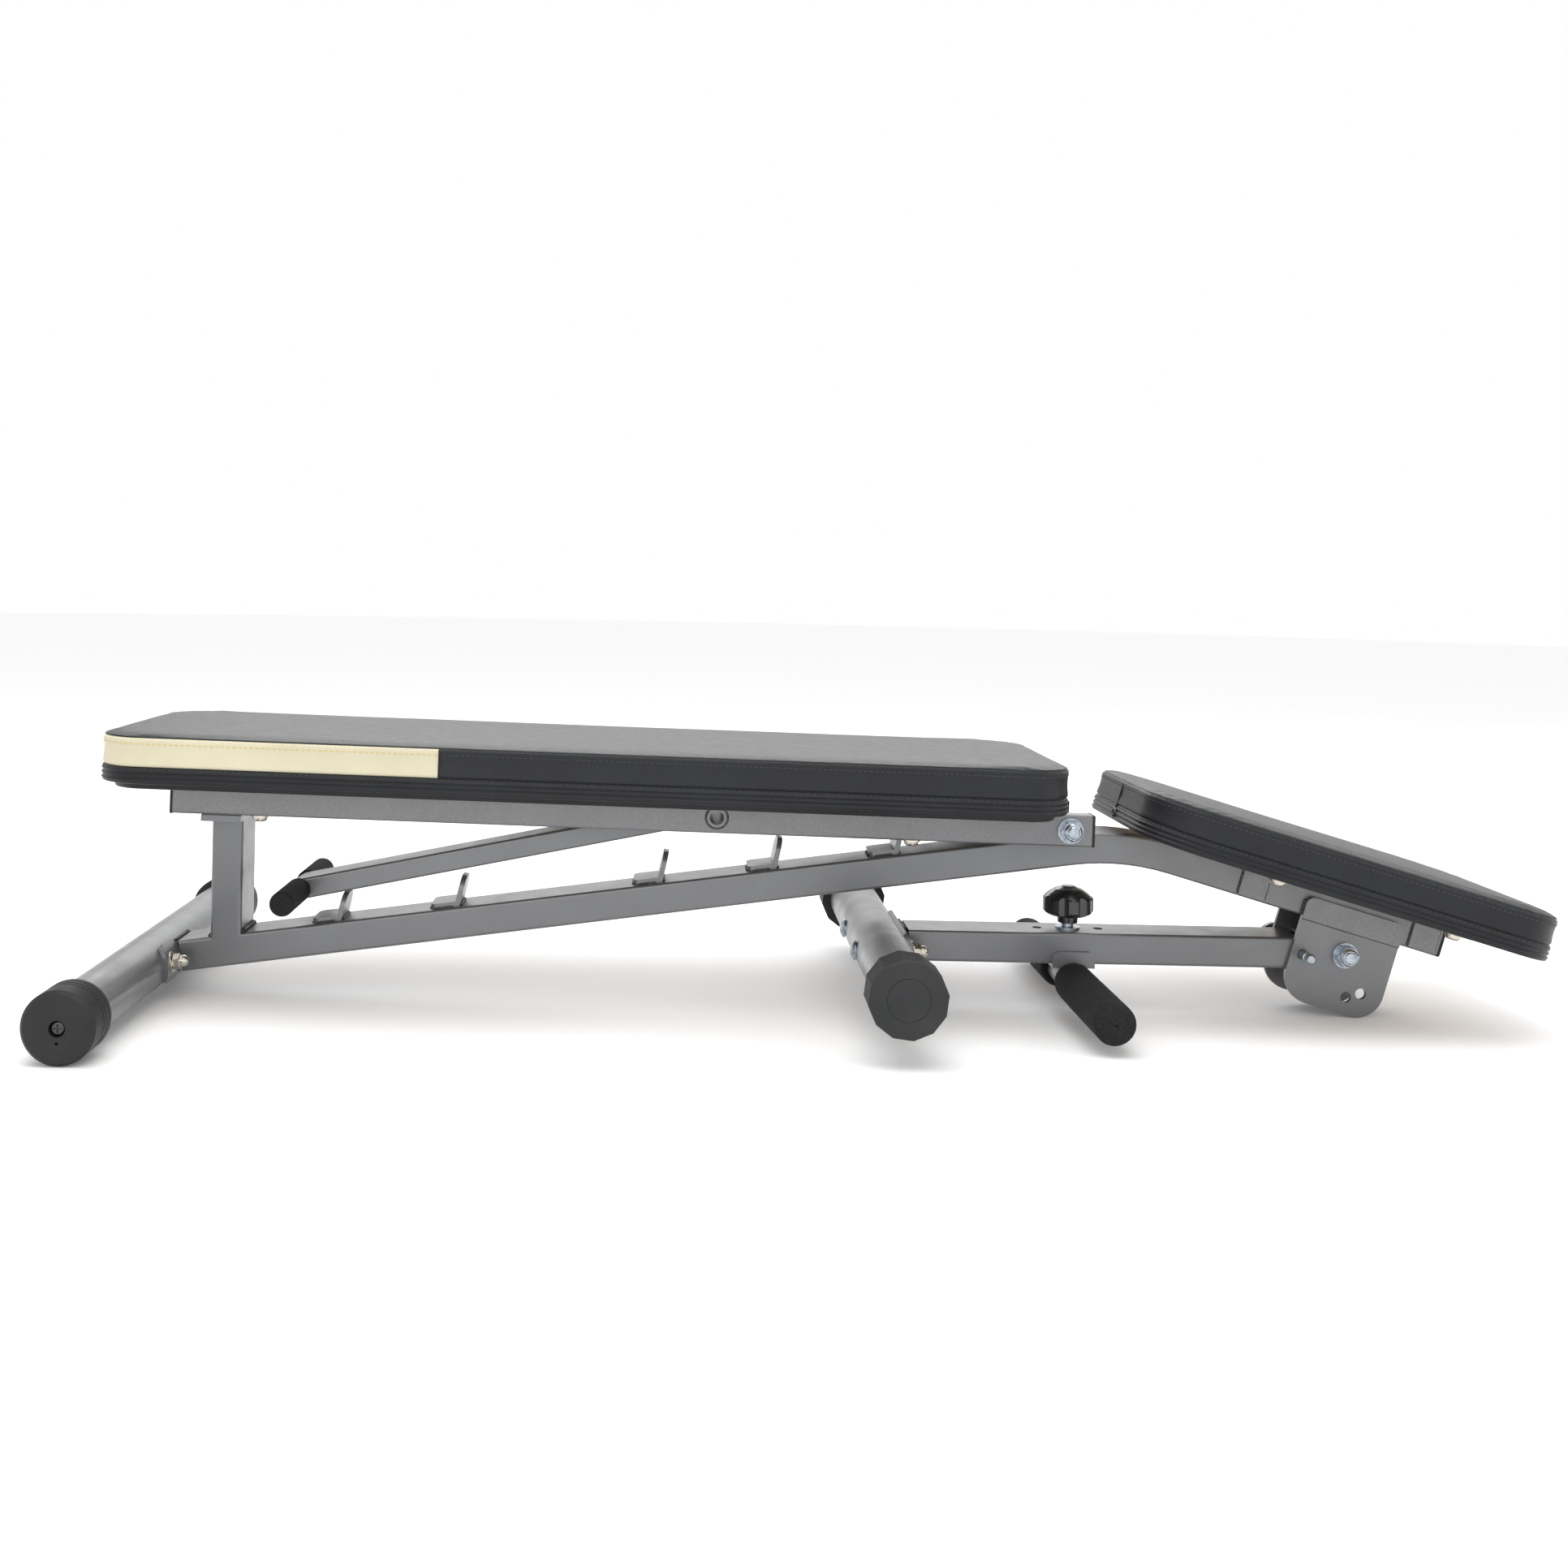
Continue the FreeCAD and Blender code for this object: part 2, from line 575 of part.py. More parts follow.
# Pivot bolt from the far side, with washers and a locknut on the near side.
pivot_washer = washer(12.2, PIVOT_BOLT_R, 2.0)
bolt_seat = RAIL_OUTER_Y + 2.0
pivot_bolt = hex_bolt(19.0, 7.5, PIVOT_BOLT_R, 2 * bolt_seat + 13.5)
pivot_at = V(PIVOT_X, 0, PIVOT_Z)
save("backrest_pivot_bolt", aimed(pivot_bolt, pivot_at + ACROSS * bolt_seat, ACROSS * -1))
near_washer = aimed(pivot_washer, pivot_at - ACROSS * RAIL_OUTER_Y, ACROSS * -1)
save("backrest_pivot_washers", near_washer, aimed(pivot_washer, pivot_at + ACROSS * RAIL_OUTER_Y,
                                                  ACROSS))
save("backrest_pivot_nut", aimed(locknut(18.5, 12.0, PIVOT_BOLT_R),
                                 pivot_at - ACROSS * bolt_seat, ACROSS * -1))

# Tube through both rails that the prop hangs from.
prop_tube = ring(PROP_U, 0, PROP_TUBE_R, PROP_TUBE_BORE_R, -RAIL_OUTER_Y - 1.5,
                 RAIL_OUTER_Y + 1.5)
save("prop_pivot_tube", on_back(prop_tube))


# ---------------------------------------------------------------------- pads
def pad_solid(u0, u1, half_y, r0, r1, base, edge):
    """Closed cushion: straight sides, a soft top edge and a low crown."""
    sides = plate_shape(u0, u1, -half_y, half_y, r0, r1, base, base + edge)
    sides = sides.makeFillet(6.0, [e for e in sides.Edges
                                   if e.CenterOfMass.z > base + edge - 0.1])
    low = rounded_wire(u0 + 26, u1 - 26, 10 - half_y, half_y - 10, r0 - 6, r1 - 6)
    low.translate(V(0, 0, base + edge))
    high = rounded_wire(u0 + 90, u1 - 90, 55 - half_y, half_y - 55, r0 - 8, r1 - 8)
    high.translate(V(0, 0, base + edge + PAD_CROWN))
    return sides.fuse(Part.makeLoft([low, high], True)).removeSplitter()


def board_solid(u0, u1, half_y, r0, r1, base):
    return plate_shape(u0 + BOARD_INSET, u1 - BOARD_INSET, BOARD_INSET - half_y,
                       half_y - BOARD_INSET, r0 - BOARD_INSET, r1 - BOARD_INSET,
                       base, base + BOARD_T)


def bored_for(shape, places, radius, w0, w1):
    for u, y in places:
        shape = shape.cut(post_hole(u, y, radius, w0, w1))
    return shape


back_base = RAIL_HEIGHT / 2
back_outline = (BACK_PAD_REAR_U, BACK_PAD_FRONT_U, BACK_PAD_HALF_Y, BACK_PAD_CORNER,
                BACK_PAD_CORNER)
back_places = [(u, y) for u in BACK_SCREW_U for y in (RAIL_MID_Y, -RAIL_MID_Y)]
t_nuts_back = [t_nut(3.0).translated(V(u, y, back_base + BOARD_T)) for u, y in back_places]
back_board = board_solid(*back_outline, back_base)
back_pad = pad_solid(*back_outline, back_base + PAD_LIFT, PAD_EDGE).cut(back_board)
back_board = bored_for(back_board, back_places, 3.0 * 1.35, back_base - 1, back_base + BOARD_T + 1)
for u, y in back_places:
    back_pad = back_pad.cut(post_hole(u, y, 3.0 * 2.4, back_base + BOARD_T, back_base + BOARD_T + 6))
save("backrest_pad", on_back(back_pad))
save("backrest_board", on_back(back_board))
save("backrest_t_nuts", *[on_back(n) for n in t_nuts_back])
screw_washer = washer(8.5, 3.0, 1.5)
back_hardware = []
for u, y in back_places:
    seat = -RAIL_HEIGHT / 2 - 1.5
    screw = pan_screw(7.0, 4.5, 3.0, RAIL_HEIGHT + BOARD_T + 4)
    back_hardware.append(screw.translated(V(u, y, seat)))
    back_hardware.append(screw_washer.translated(V(u, y, seat)))
save("backrest_screws", *[on_back(s) for s in back_hardware])

# Seat cushion on two cross plates that are welded over the beam.
seat_base = BEAM_TOP + CROSS_PLATE_T
seat_outline = (SEAT_PAD_REAR_U, SEAT_PAD_FRONT_U, SEAT_PAD_HALF_Y, SEAT_PAD_REAR_CORNER,
                SEAT_PAD_FRONT_CORNER)
seat_places = [(u, y) for u in CROSS_PLATE_U for y in (SEAT_SCREW_Y, -SEAT_SCREW_Y)]
t_nuts_seat = [t_nut(3.0).translated(V(u, y, seat_base + BOARD_T)) for u, y in seat_places]
seat_board = board_solid(*seat_outline, seat_base)
seat_pad = pad_solid(*seat_outline, seat_base, SEAT_PAD_EDGE).cut(seat_board)
seat_board = bored_for(seat_board, seat_places, 3.0 * 1.35, seat_base - 1, seat_base + BOARD_T + 1)
for u, y in seat_places:
    seat_pad = seat_pad.cut(post_hole(u, y, 3.0 * 2.4, seat_base + BOARD_T, seat_base + BOARD_T + 6))
save("seat_pad", on_seat(seat_pad))
save("seat_board", on_seat(seat_board))
save("seat_t_nuts", *[on_seat(n) for n in t_nuts_seat])


def cross_plate(u):
    """Strap across the beam with a tab down each side of the tube."""
    half = CROSS_PLATE_WIDTH / 2
    strap = plate_shape(u - half, u + half, -CROSS_PLATE_HALF_Y, CROSS_PLATE_HALF_Y, 6, 6,
                        BEAM_TOP, BEAM_TOP + CROSS_PLATE_T)
    tab = block(u - half, u + half, BEAM_WIDTH / 2, BEAM_WIDTH / 2 + CROSS_PLATE_T,
                -BEAM_TOP + 2, BEAM_TOP)
    strap = strap.fuse([tab, mirrored(tab)])
    return bored_for(strap, [(u, SEAT_SCREW_Y), (u, -SEAT_SCREW_Y)], 3.0, 0, BEAM_HEIGHT)


save("seat_cross_plates", *[on_seat(cross_plate(u)) for u in CROSS_PLATE_U])
seat_hardware = []
for u, y in seat_places:
    seat = BEAM_TOP - 1.5
    screw = pan_screw(7.0, 4.5, 3.0, BOARD_T + CROSS_PLATE_T + 4)
    seat_hardware.append(screw.translated(V(u, y, seat)))
    seat_hardware.append(screw_washer.translated(V(u, y, seat)))
save("seat_screws", *[on_seat(s) for s in seat_hardware])


# ---------------------------------------------------------------------- prop
prop_foot = -PROP_LENGTH
strut = box_tube(prop_foot, 0, STRUT_WIDTH, STRUT_HEIGHT, STRUT_WALL, 2.5)
strut = strut.cut(rod(0, 0, PROP_SLEEVE_R, -STRUT_WIDTH, STRUT_WIDTH))
strut = strut.cut(rod(prop_foot, 0, CROSS_BAR_R, -STRUT_WIDTH, STRUT_WIDTH))
strut = strut.cut(block(prop_foot - 1, prop_foot, -STRUT_WIDTH, STRUT_WIDTH, -20, 20))
strut = max(strut.Solids, key=lambda solid: solid.Volume)
save("prop_strut", on_prop(strut))
prop_sleeve = ring(0, 0, PROP_SLEEVE_R, PROP_TUBE_R + RUNNING_GAP, -RAIL_INNER_Y + 1,
                   RAIL_INNER_Y - 1)
save("prop_sleeve", on_prop(prop_sleeve))
cross_bar = ring(prop_foot, 0, CROSS_BAR_R, CROSS_BAR_R - 1.5, -CROSS_BAR_HALF_Y,
                 CROSS_BAR_HALF_Y)
save("prop_cross_bar", on_prop(cross_bar))
grip = turned([(CROSS_BAR_R, 0), (GRIP_R - 1, 0), (GRIP_R, 1),
               (GRIP_R, GRIP_END_Y - STRUT_WIDTH / 2 - 4),
               (GRIP_R - 2.2, GRIP_END_Y - STRUT_WIDTH / 2 - 0.7), (0, GRIP_END_Y - STRUT_WIDTH / 2 - 0.7),
               (0, CROSS_BAR_HALF_Y - STRUT_WIDTH / 2 - 0.7),
               (CROSS_BAR_R, CROSS_BAR_HALF_Y - STRUT_WIDTH / 2 - 0.7)])
grip = aimed(grip, V(prop_foot, STRUT_WIDTH / 2 + 0.7, 0), ACROSS)
save("prop_grip_far", on_prop(grip))
save("prop_grip_near", on_prop(mirrored(grip)))

# --------------------------------------------------------------- leg bracket
sin_seat = math.sin(math.radians(SEAT_TILT))
cos_seat = math.cos(math.radians(SEAT_TILT))
corner_u = BRACKET_FRONT_U - BRACKET_CORNER
corner_w = (BRACKET_CORNER - SEAT_END.z - corner_u * sin_seat) / cos_seat
bracket_low = corner_w - BRACKET_CORNER


def lock_point(angle):
    """Centre of a lock hole in the bench frame, for the leg's fold angle."""
    swing = math.radians(angle)
    return V(LEG_PIVOT_X - LOCK_RADIUS * math.cos(swing), 0,
             LEG_PIVOT_Z - LOCK_RADIUS * math.sin(swing))


def bracket():
    """Plate on the +Y side: stepped flange on the beam, round-cornered web."""
    web = plate_shape(BRACKET_REAR_U, BRACKET_FRONT_U, bracket_low, 40, BRACKET_CORNER,
                      BRACKET_CORNER, 0, BRACKET_T)
    web.rotate(ORIGIN, V(1, 0, 0), 90)
    web.translate(ACROSS * (BRACKET_INNER_Y + BRACKET_T))
    web = web.common(block(-300, 300, 0, 100, bracket_low - 1, BRACKET_STEP_W))
    flange = plate_shape(BRACKET_REAR_U, BRACKET_FRONT_U, BRACKET_STEP_W - 40, BRACKET_TOP_W,
                         8, 8, 0, BRACKET_T + 1.6)
    flange.rotate(ORIGIN, V(1, 0, 0), 90)
    flange.translate(ACROSS * (BEAM_WIDTH / 2 + BRACKET_T + 1.6))
    flange = flange.common(block(-300, 300, 0, 100, BRACKET_STEP_W - 2.5, 100))
    flange = flange.cut(block(-300, 300, 0, BRACKET_INNER_Y, BRACKET_STEP_W - 3, -BEAM_TOP))
    lower = [e for e in flange.Edges if e.Length > 90 and e.CenterOfMass.z < BRACKET_STEP_W
             and e.CenterOfMass.y > BEAM_WIDTH / 2 + BRACKET_T]
    plate = on_seat(web.fuse(flange.makeChamfer(1.3, lower)).removeSplitter())
    plate = plate.cut(rod(LEG_PIVOT_X, LEG_PIVOT_Z, PIVOT_BOLT_R, 0, 100))
    for angle in LOCK_ANGLES:
        spot = lock_point(angle)
        plate = plate.cut(rod(spot.x, spot.z, LOCK_HOLE_R, 0, 100))
    return plate


bracket_far = bracket()
save("leg_bracket_far", bracket_far)
save("leg_bracket_near", mirrored(bracket_far))

leg_pivot = V(LEG_PIVOT_X, 0, LEG_PIVOT_Z)
bracket_face = BRACKET_INNER_Y + BRACKET_T
leg_bolt_seat = bracket_face + 2.0
leg_bolt = hex_bolt(19.0, 7.5, PIVOT_BOLT_R, 2 * leg_bolt_seat + 13.0)
save("leg_pivot_bolt", aimed(leg_bolt, leg_pivot + ACROSS * leg_bolt_seat, ACROSS * -1))
save("leg_pivot_washers", aimed(pivot_washer, leg_pivot + ACROSS * bracket_face, ACROSS),
     aimed(pivot_washer, leg_pivot - ACROSS * bracket_face, ACROSS * -1))
save("leg_pivot_nut", aimed(locknut(18.5, 12.0, PIVOT_BOLT_R),
                            leg_pivot - ACROSS * leg_bolt_seat, ACROSS * -1))

# ----------------------------------------------------------------- front leg
foot_u = FRONT_FOOT_X - LEG_PIVOT_X
hold_u = HOLD_X - LEG_PIVOT_X
leg_tube = box_tube(foot_u + FOOT_R + SADDLE_T, LEG_TOE, LEG_WIDTH, BEAM_HEIGHT, BEAM_WALL,
                    BEAM_CORNER)
bush_r = 9.0
leg_tube = leg_tube.cut(rod(0, 0, bush_r, -60, 60))
slot = ring(0, 0, LOCK_RADIUS + LOCK_HOLE_R, LOCK_RADIUS - LOCK_HOLE_R, -60, 60)
slot = slot.common(block(-LOCK_RADIUS - 20, 0, -60, 60, 0, BEAM_HEIGHT))
leg_tube = leg_tube.cut(slot).cut(rod(-LOCK_RADIUS, 0, LOCK_HOLE_R, -60, 60))
for step in (-1, 0, 1):
    hole_u = hold_u + step * HOLD_PITCH
    leg_tube = leg_tube.cut(post_hole(hole_u, 0, HOLD_HOLE_R, 0, BEAM_HEIGHT))
leg_tube = leg_tube.cut(post_hole(hold_u, 0, HOLD_HOLE_R, -BEAM_HEIGHT, 0))
save("leg_tube", on_leg(max(leg_tube.Solids, key=lambda solid: solid.Volume)))
save("leg_end_plug", aimed(tube_plug(LEG_WIDTH, BEAM_HEIGHT, 2.0, 6.0),
                           leg_pivot + V(LEG_TOE, 0, 0), V(1, 0, 0)))
save("leg_pivot_bush", ring(LEG_PIVOT_X, LEG_PIVOT_Z, bush_r, PIVOT_BOLT_R + RUNNING_GAP,
                            -LEG_WIDTH / 2, LEG_WIDTH / 2))
front_point = V(FRONT_FOOT_X, 0, LEG_PIVOT_Z)
front_tube_half = FRONT_FOOT_HALF_Y - 4.0
save("front_foot_tube", foot_tube(front_point, 0, front_tube_half))
save("front_saddle_plate", saddle_plate(front_point, 0))
front_bolts, front_nuts = foot_hardware(front_point, 0)
save("front_foot_bolts", *front_bolts)
save("front_foot_nuts", *front_nuts)


def front_cap():
    """Twelve-sided rubber foot for the +Y end, built up +Z from its rim."""
    body = prism(FRONT_CAP_SIDES, FRONT_CAP_FLATS, FRONT_CAP_LENGTH)
    face_rim = [e for e in body.Edges if e.CenterOfMass.z > FRONT_CAP_LENGTH - 0.1]
    body = body.makeChamfer(1.2, face_rim)
    body.rotate(ORIGIN, UP, 180 / FRONT_CAP_SIDES + 7.0)
    socket = Part.makeCylinder(FOOT_R, FRONT_CAP_LENGTH - 4)
    mark = washer(18.6, 18.2, 1.0)
    mark.translate(V(0, 0, FRONT_CAP_LENGTH - 0.6))
    return body.cut(socket).cut(mark)


cap_far = aimed(front_cap(), front_point + ACROSS * (FRONT_FOOT_HALF_Y - FRONT_CAP_LENGTH),
                ACROSS)
save("front_foot_cap_far", cap_far)
save("front_foot_cap_near", mirrored(cap_far))

# ------------------------------------------------------------ foam foot roll
leg_under = LEG_PIVOT_Z - BEAM_TOP
clamp_half = 20.5
clamp_t = 3.0
clamp_ear = 12.5
clamp_out = LEG_WIDTH / 2 + 0.4 + clamp_t
clamp = block(HOLD_X - clamp_half, HOLD_X + clamp_half, -clamp_out, clamp_out,
              leg_under - clamp_t, leg_under + clamp_ear)
clamp = clamp.cut(block(HOLD_X - 40, HOLD_X + 40, clamp_t - clamp_out, clamp_out - clamp_t,
                        leg_under, leg_under + 20))
ear_edges = [e for e in clamp.Edges if abs(e.tangentAt(e.FirstParameter).y) > 0.9
             and abs(e.CenterOfMass.z - leg_under - clamp_ear) < 0.1 and e.Length < 5
             and abs(abs(e.CenterOfMass.x - HOLD_X) - clamp_half) < 0.1]
clamp = clamp.makeFillet(7.0, ear_edges)
clamp = clamp.cut(Part.makeCylinder(HOLD_HOLE_R, 20, V(HOLD_X, 0, leg_under - 10)))
clamp = clamp.cut(rod(HOLD_X, HOLD_BAR_Z, HOLD_BAR_R, -60, 60))
save("roll_clamp", clamp)
roll_bar = ring(HOLD_X, HOLD_BAR_Z, HOLD_BAR_R, HOLD_BAR_R - 1.5, -HOLD_BAR_HALF_Y,
                HOLD_BAR_HALF_Y)
roll_bar = roll_bar.cut(Part.makeCylinder(HOLD_HOLE_R, 20, V(HOLD_X, 0, HOLD_BAR_Z)))
save("roll_bar", roll_bar)
weld_nut = prism(6, 13.0, 6.5).cut(Part.makeCylinder(STUD_R, 20, V(0, 0, -5)))
nut_top = HOLD_BAR_Z + math.sqrt((HOLD_BAR_R - 1.5) ** 2 - 7.5 ** 2)
weld_nut.translate(V(HOLD_X, 0, nut_top - 6.6))
save("roll_weld_nut", weld_nut)
foam = turned([(HOLD_BAR_R, 0), (FOAM_R - 2, 0), (FOAM_R, 2),
               (FOAM_R, FOAM_END_Y - FOAM_INNER_Y - 3), (FOAM_R - 3, FOAM_END_Y - FOAM_INNER_Y),
               (HOLD_BAR_R, FOAM_END_Y - FOAM_INNER_Y)])
foam = aimed(foam, V(HOLD_X, FOAM_INNER_Y, HOLD_BAR_Z), ACROSS)
foam_clear = block(HOLD_X - 40, HOLD_X + 40, 0, clamp_out + 0.3, leg_under - clamp_t - 0.3, 80)
foam = foam.cut(foam_clear)
save("foam_roll_far", foam)
save("foam_roll_near", mirrored(foam))
bar_cap = turned([(0, 0), (HOLD_BAR_R - 1.5, 0), (HOLD_BAR_R - 1.5, 12), (0, 12)])
bar_cap = bar_cap.fuse(turned([(0, 12), (HOLD_BAR_R, 12), (HOLD_BAR_R, 13), (HOLD_BAR_R - 2, 14.5),
                               (0, 14.5)]))
bar_cap = aimed(bar_cap, V(HOLD_X, HOLD_BAR_HALF_Y - 12, HOLD_BAR_Z), ACROSS)
save("roll_bar_plugs", bar_cap, mirrored(bar_cap))

# ---------------------------------------------------------------------- knob
leg_top = LEG_PIVOT_Z + BEAM_TOP
knob_base = leg_top + 6.0
knob_body = turned([(0, 0), (9.6, 0), (10.2, 6), (KNOB_R - 6, 7.4), (KNOB_R - 1.5, 10),
                    (KNOB_R, 12), (KNOB_R, 24), (KNOB_R - 1.5, 26), (KNOB_R - 5.5, 29.5),
                    (KNOB_R - 11, 33.0), (KNOB_R - 17, 35.2), (6, 36), (0, 36.2)])
for i in range(KNOB_LOBES):
    turn = 2 * math.pi * (i + 0.5) / KNOB_LOBES
    reach = KNOB_R + 3.4
    flute = Part.makeCylinder(6.2, 20.6, V(reach * math.cos(turn), reach * math.sin(turn), 6.5))
    knob_body = knob_body.cut(flute)
knob_body = knob_body.cut(Part.makeCylinder(STUD_R, 22, V(0, 0, -1)))
knob_body.translate(V(HOLD_X, 0, knob_base))
save("clamp_knob", knob_body)
stud_low = nut_top - 6.6
stud = Part.makeCylinder(STUD_R - RUNNING_GAP, leg_top + 2.2 - stud_low, V(HOLD_X, 0, stud_low))
stud = stud.fuse(Part.makeCylinder(5.8, 3.8, V(HOLD_X, 0, leg_top + 2.2)))
stud = stud.fuse(Part.makeCylinder(STUD_R, knob_base + 21 - leg_top - 6.0,
                                   V(HOLD_X, 0, leg_top + 6.0)))
save("knob_stud", stud)
save("knob_washer", washer(11.8, STUD_R + 0.3, 1.8).translated(V(HOLD_X, 0, leg_top)))

# ------------------------------------------------------------------ lock pin
lock_at = lock_point(0)
pin_tip = -50.0
pin_seat = bracket_face + 0.4
pin = turned([(0, 0), (LOCK_PIN_R - 1.2, 0), (LOCK_PIN_R, 2.0), (LOCK_PIN_R, 5.5),
              (LOCK_PIN_R - 0.9, 6.0), (LOCK_PIN_R - 0.9, 8.0), (LOCK_PIN_R, 8.5),
              (LOCK_PIN_R, pin_seat - pin_tip), (9.0, pin_seat - pin_tip),
              (9.0, pin_seat - pin_tip + 3.0), (LOCK_PIN_R, pin_seat - pin_tip + 3.0),
              (LOCK_PIN_R, pin_seat - pin_tip + 20.0), (0, pin_seat - pin_tip + 20.0)])
save("lock_pin", aimed(pin, lock_at + ACROSS * pin_tip, ACROSS))
pull = turned([(LOCK_PIN_R, 0), (8.0, 0), (9.0, 1.5), (8.0, 6.0), (13.0, 9.0), (14.5, 12.0),
               (14.5, 18.0), (12.0, 21.0), (7.0, 22.5), (0, 23.0), (0, 17.0),
               (LOCK_PIN_R, 17.0)])
save("lock_pin_pull", aimed(pull, lock_at + ACROSS * (pin_seat + 3.0), ACROSS))
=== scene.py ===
import json
import math
import random

import bpy
import numpy as np
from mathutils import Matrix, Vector


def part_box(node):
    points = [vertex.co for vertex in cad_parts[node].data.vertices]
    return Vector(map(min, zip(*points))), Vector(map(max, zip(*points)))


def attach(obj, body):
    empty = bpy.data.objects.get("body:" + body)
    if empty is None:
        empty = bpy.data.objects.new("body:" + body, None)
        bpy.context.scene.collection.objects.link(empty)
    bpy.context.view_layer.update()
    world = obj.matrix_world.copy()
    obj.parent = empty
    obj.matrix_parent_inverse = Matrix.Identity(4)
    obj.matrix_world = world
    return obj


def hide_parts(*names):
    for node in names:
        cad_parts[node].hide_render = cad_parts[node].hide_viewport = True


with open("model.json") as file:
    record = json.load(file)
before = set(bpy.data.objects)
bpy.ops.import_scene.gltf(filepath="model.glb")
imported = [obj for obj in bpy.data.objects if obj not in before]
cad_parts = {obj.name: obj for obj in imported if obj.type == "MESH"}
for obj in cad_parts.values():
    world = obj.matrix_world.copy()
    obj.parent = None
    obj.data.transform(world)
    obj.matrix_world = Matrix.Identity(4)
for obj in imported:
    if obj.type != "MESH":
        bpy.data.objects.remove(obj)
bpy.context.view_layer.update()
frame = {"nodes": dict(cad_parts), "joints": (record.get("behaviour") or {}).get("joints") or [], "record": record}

MM = 0.001
scene = bpy.context.scene
random.seed(11)

# ------------------------------------------------------------------ the model
NODES = frame["nodes"]
JOINTS = {j["name"]: j for j in frame["joints"]}
MOUNTS = {m["name"]: m for m in frame["record"]["mounts"]}

# How far each member leans from level at rest, in degrees.
LADDER_TILT = 7.93
SEAT_TILT = -16.0
BACK_TILT = -1.0
PROP_TILT = 11.8


class Place:
    """Maps a member's own (u, y, w) in millimetres to the row frame in metres."""

    def __init__(self, entry, tilt):
        x, _, z = entry["pos_m"]
        t = math.radians(tilt)
        self.origin = Vector((x, 0, z))
        self.u = Vector((math.cos(t), 0, math.sin(t)))
        self.w = Vector((-math.sin(t), 0, math.cos(t)))

    def __call__(self, u, y, w):
        return self.origin + (self.u * u + self.w * w + Vector((0, y, 0))) * MM


BACK = Place(JOINTS["back_recline"], BACK_TILT)
PROP = Place(JOINTS["prop_swing"], PROP_TILT)
LEG = Place(JOINTS["leg_fold"], 0)
LADDER = Place(JOINTS["wheel_far_spin"], LADDER_TILT)
BACK_TOP = Place(MOUNTS["back_surface"], BACK_TILT)
SEAT_TOP = Place(MOUNTS["seat_surface"], SEAT_TILT)

# --------------------------------------------------------------------- camera
CAMERA_AT = (-0.14871, -1.600, 0.4185)
CAMERA_ROLL = 1.15
CAMERA_LENS = 37.27
CAMERA_SHIFT = (0.0709, -0.1356)
cam_data = bpy.data.cameras.new("camera")
cam_data.sensor_width = 36
cam_data.lens = CAMERA_LENS
cam_data.shift_x, cam_data.shift_y = CAMERA_SHIFT
cam_data.clip_start = 0.05
cam_data.clip_end = 60
camera = bpy.data.objects.new("camera", cam_data)
camera.location = CAMERA_AT
camera.rotation_euler = (math.radians(90), math.radians(-CAMERA_ROLL), 0)
scene.collection.objects.link(camera)
scene.camera = camera


def new_object(name, verts, faces, materials, face_material=None):
    mesh = bpy.data.meshes.new(name)
    mesh.from_pydata([tuple(v) for v in verts], [], faces)
    for m in materials:
        mesh.materials.append(m)
    if face_material is not None:
        mesh.polygons.foreach_set("material_index", face_material)
    mesh.polygons.foreach_set("use_smooth", [True] * len(mesh.polygons))
    mesh.validate()
    mesh.update()
    obj = bpy.data.objects.new(name, mesh)
    scene.collection.objects.link(obj)
    return obj


def turn(j, sides):
    """Angle of corner j of a ring with this many sides."""
    return 2 * math.pi * j / sides


def tube_faces(first, rows, sides, closed=False):
    """Faces between rows of ring points that start at vertex first."""
    faces = []
    for k in range(rows if closed else rows - 1):
        low = first + k * sides
        high = first + (k + 1) % rows * sides
        for j in range(sides):
            q = (j + 1) % sides
            faces.append((low + j, low + q, high + q, high + j))
    return faces


def end_faces(first, rows, sides):
    """The two end faces of such a tube."""
    last = first + (rows - 1) * sides
    return [tuple(range(first, first + sides))[::-1], tuple(range(last, last + sides))]


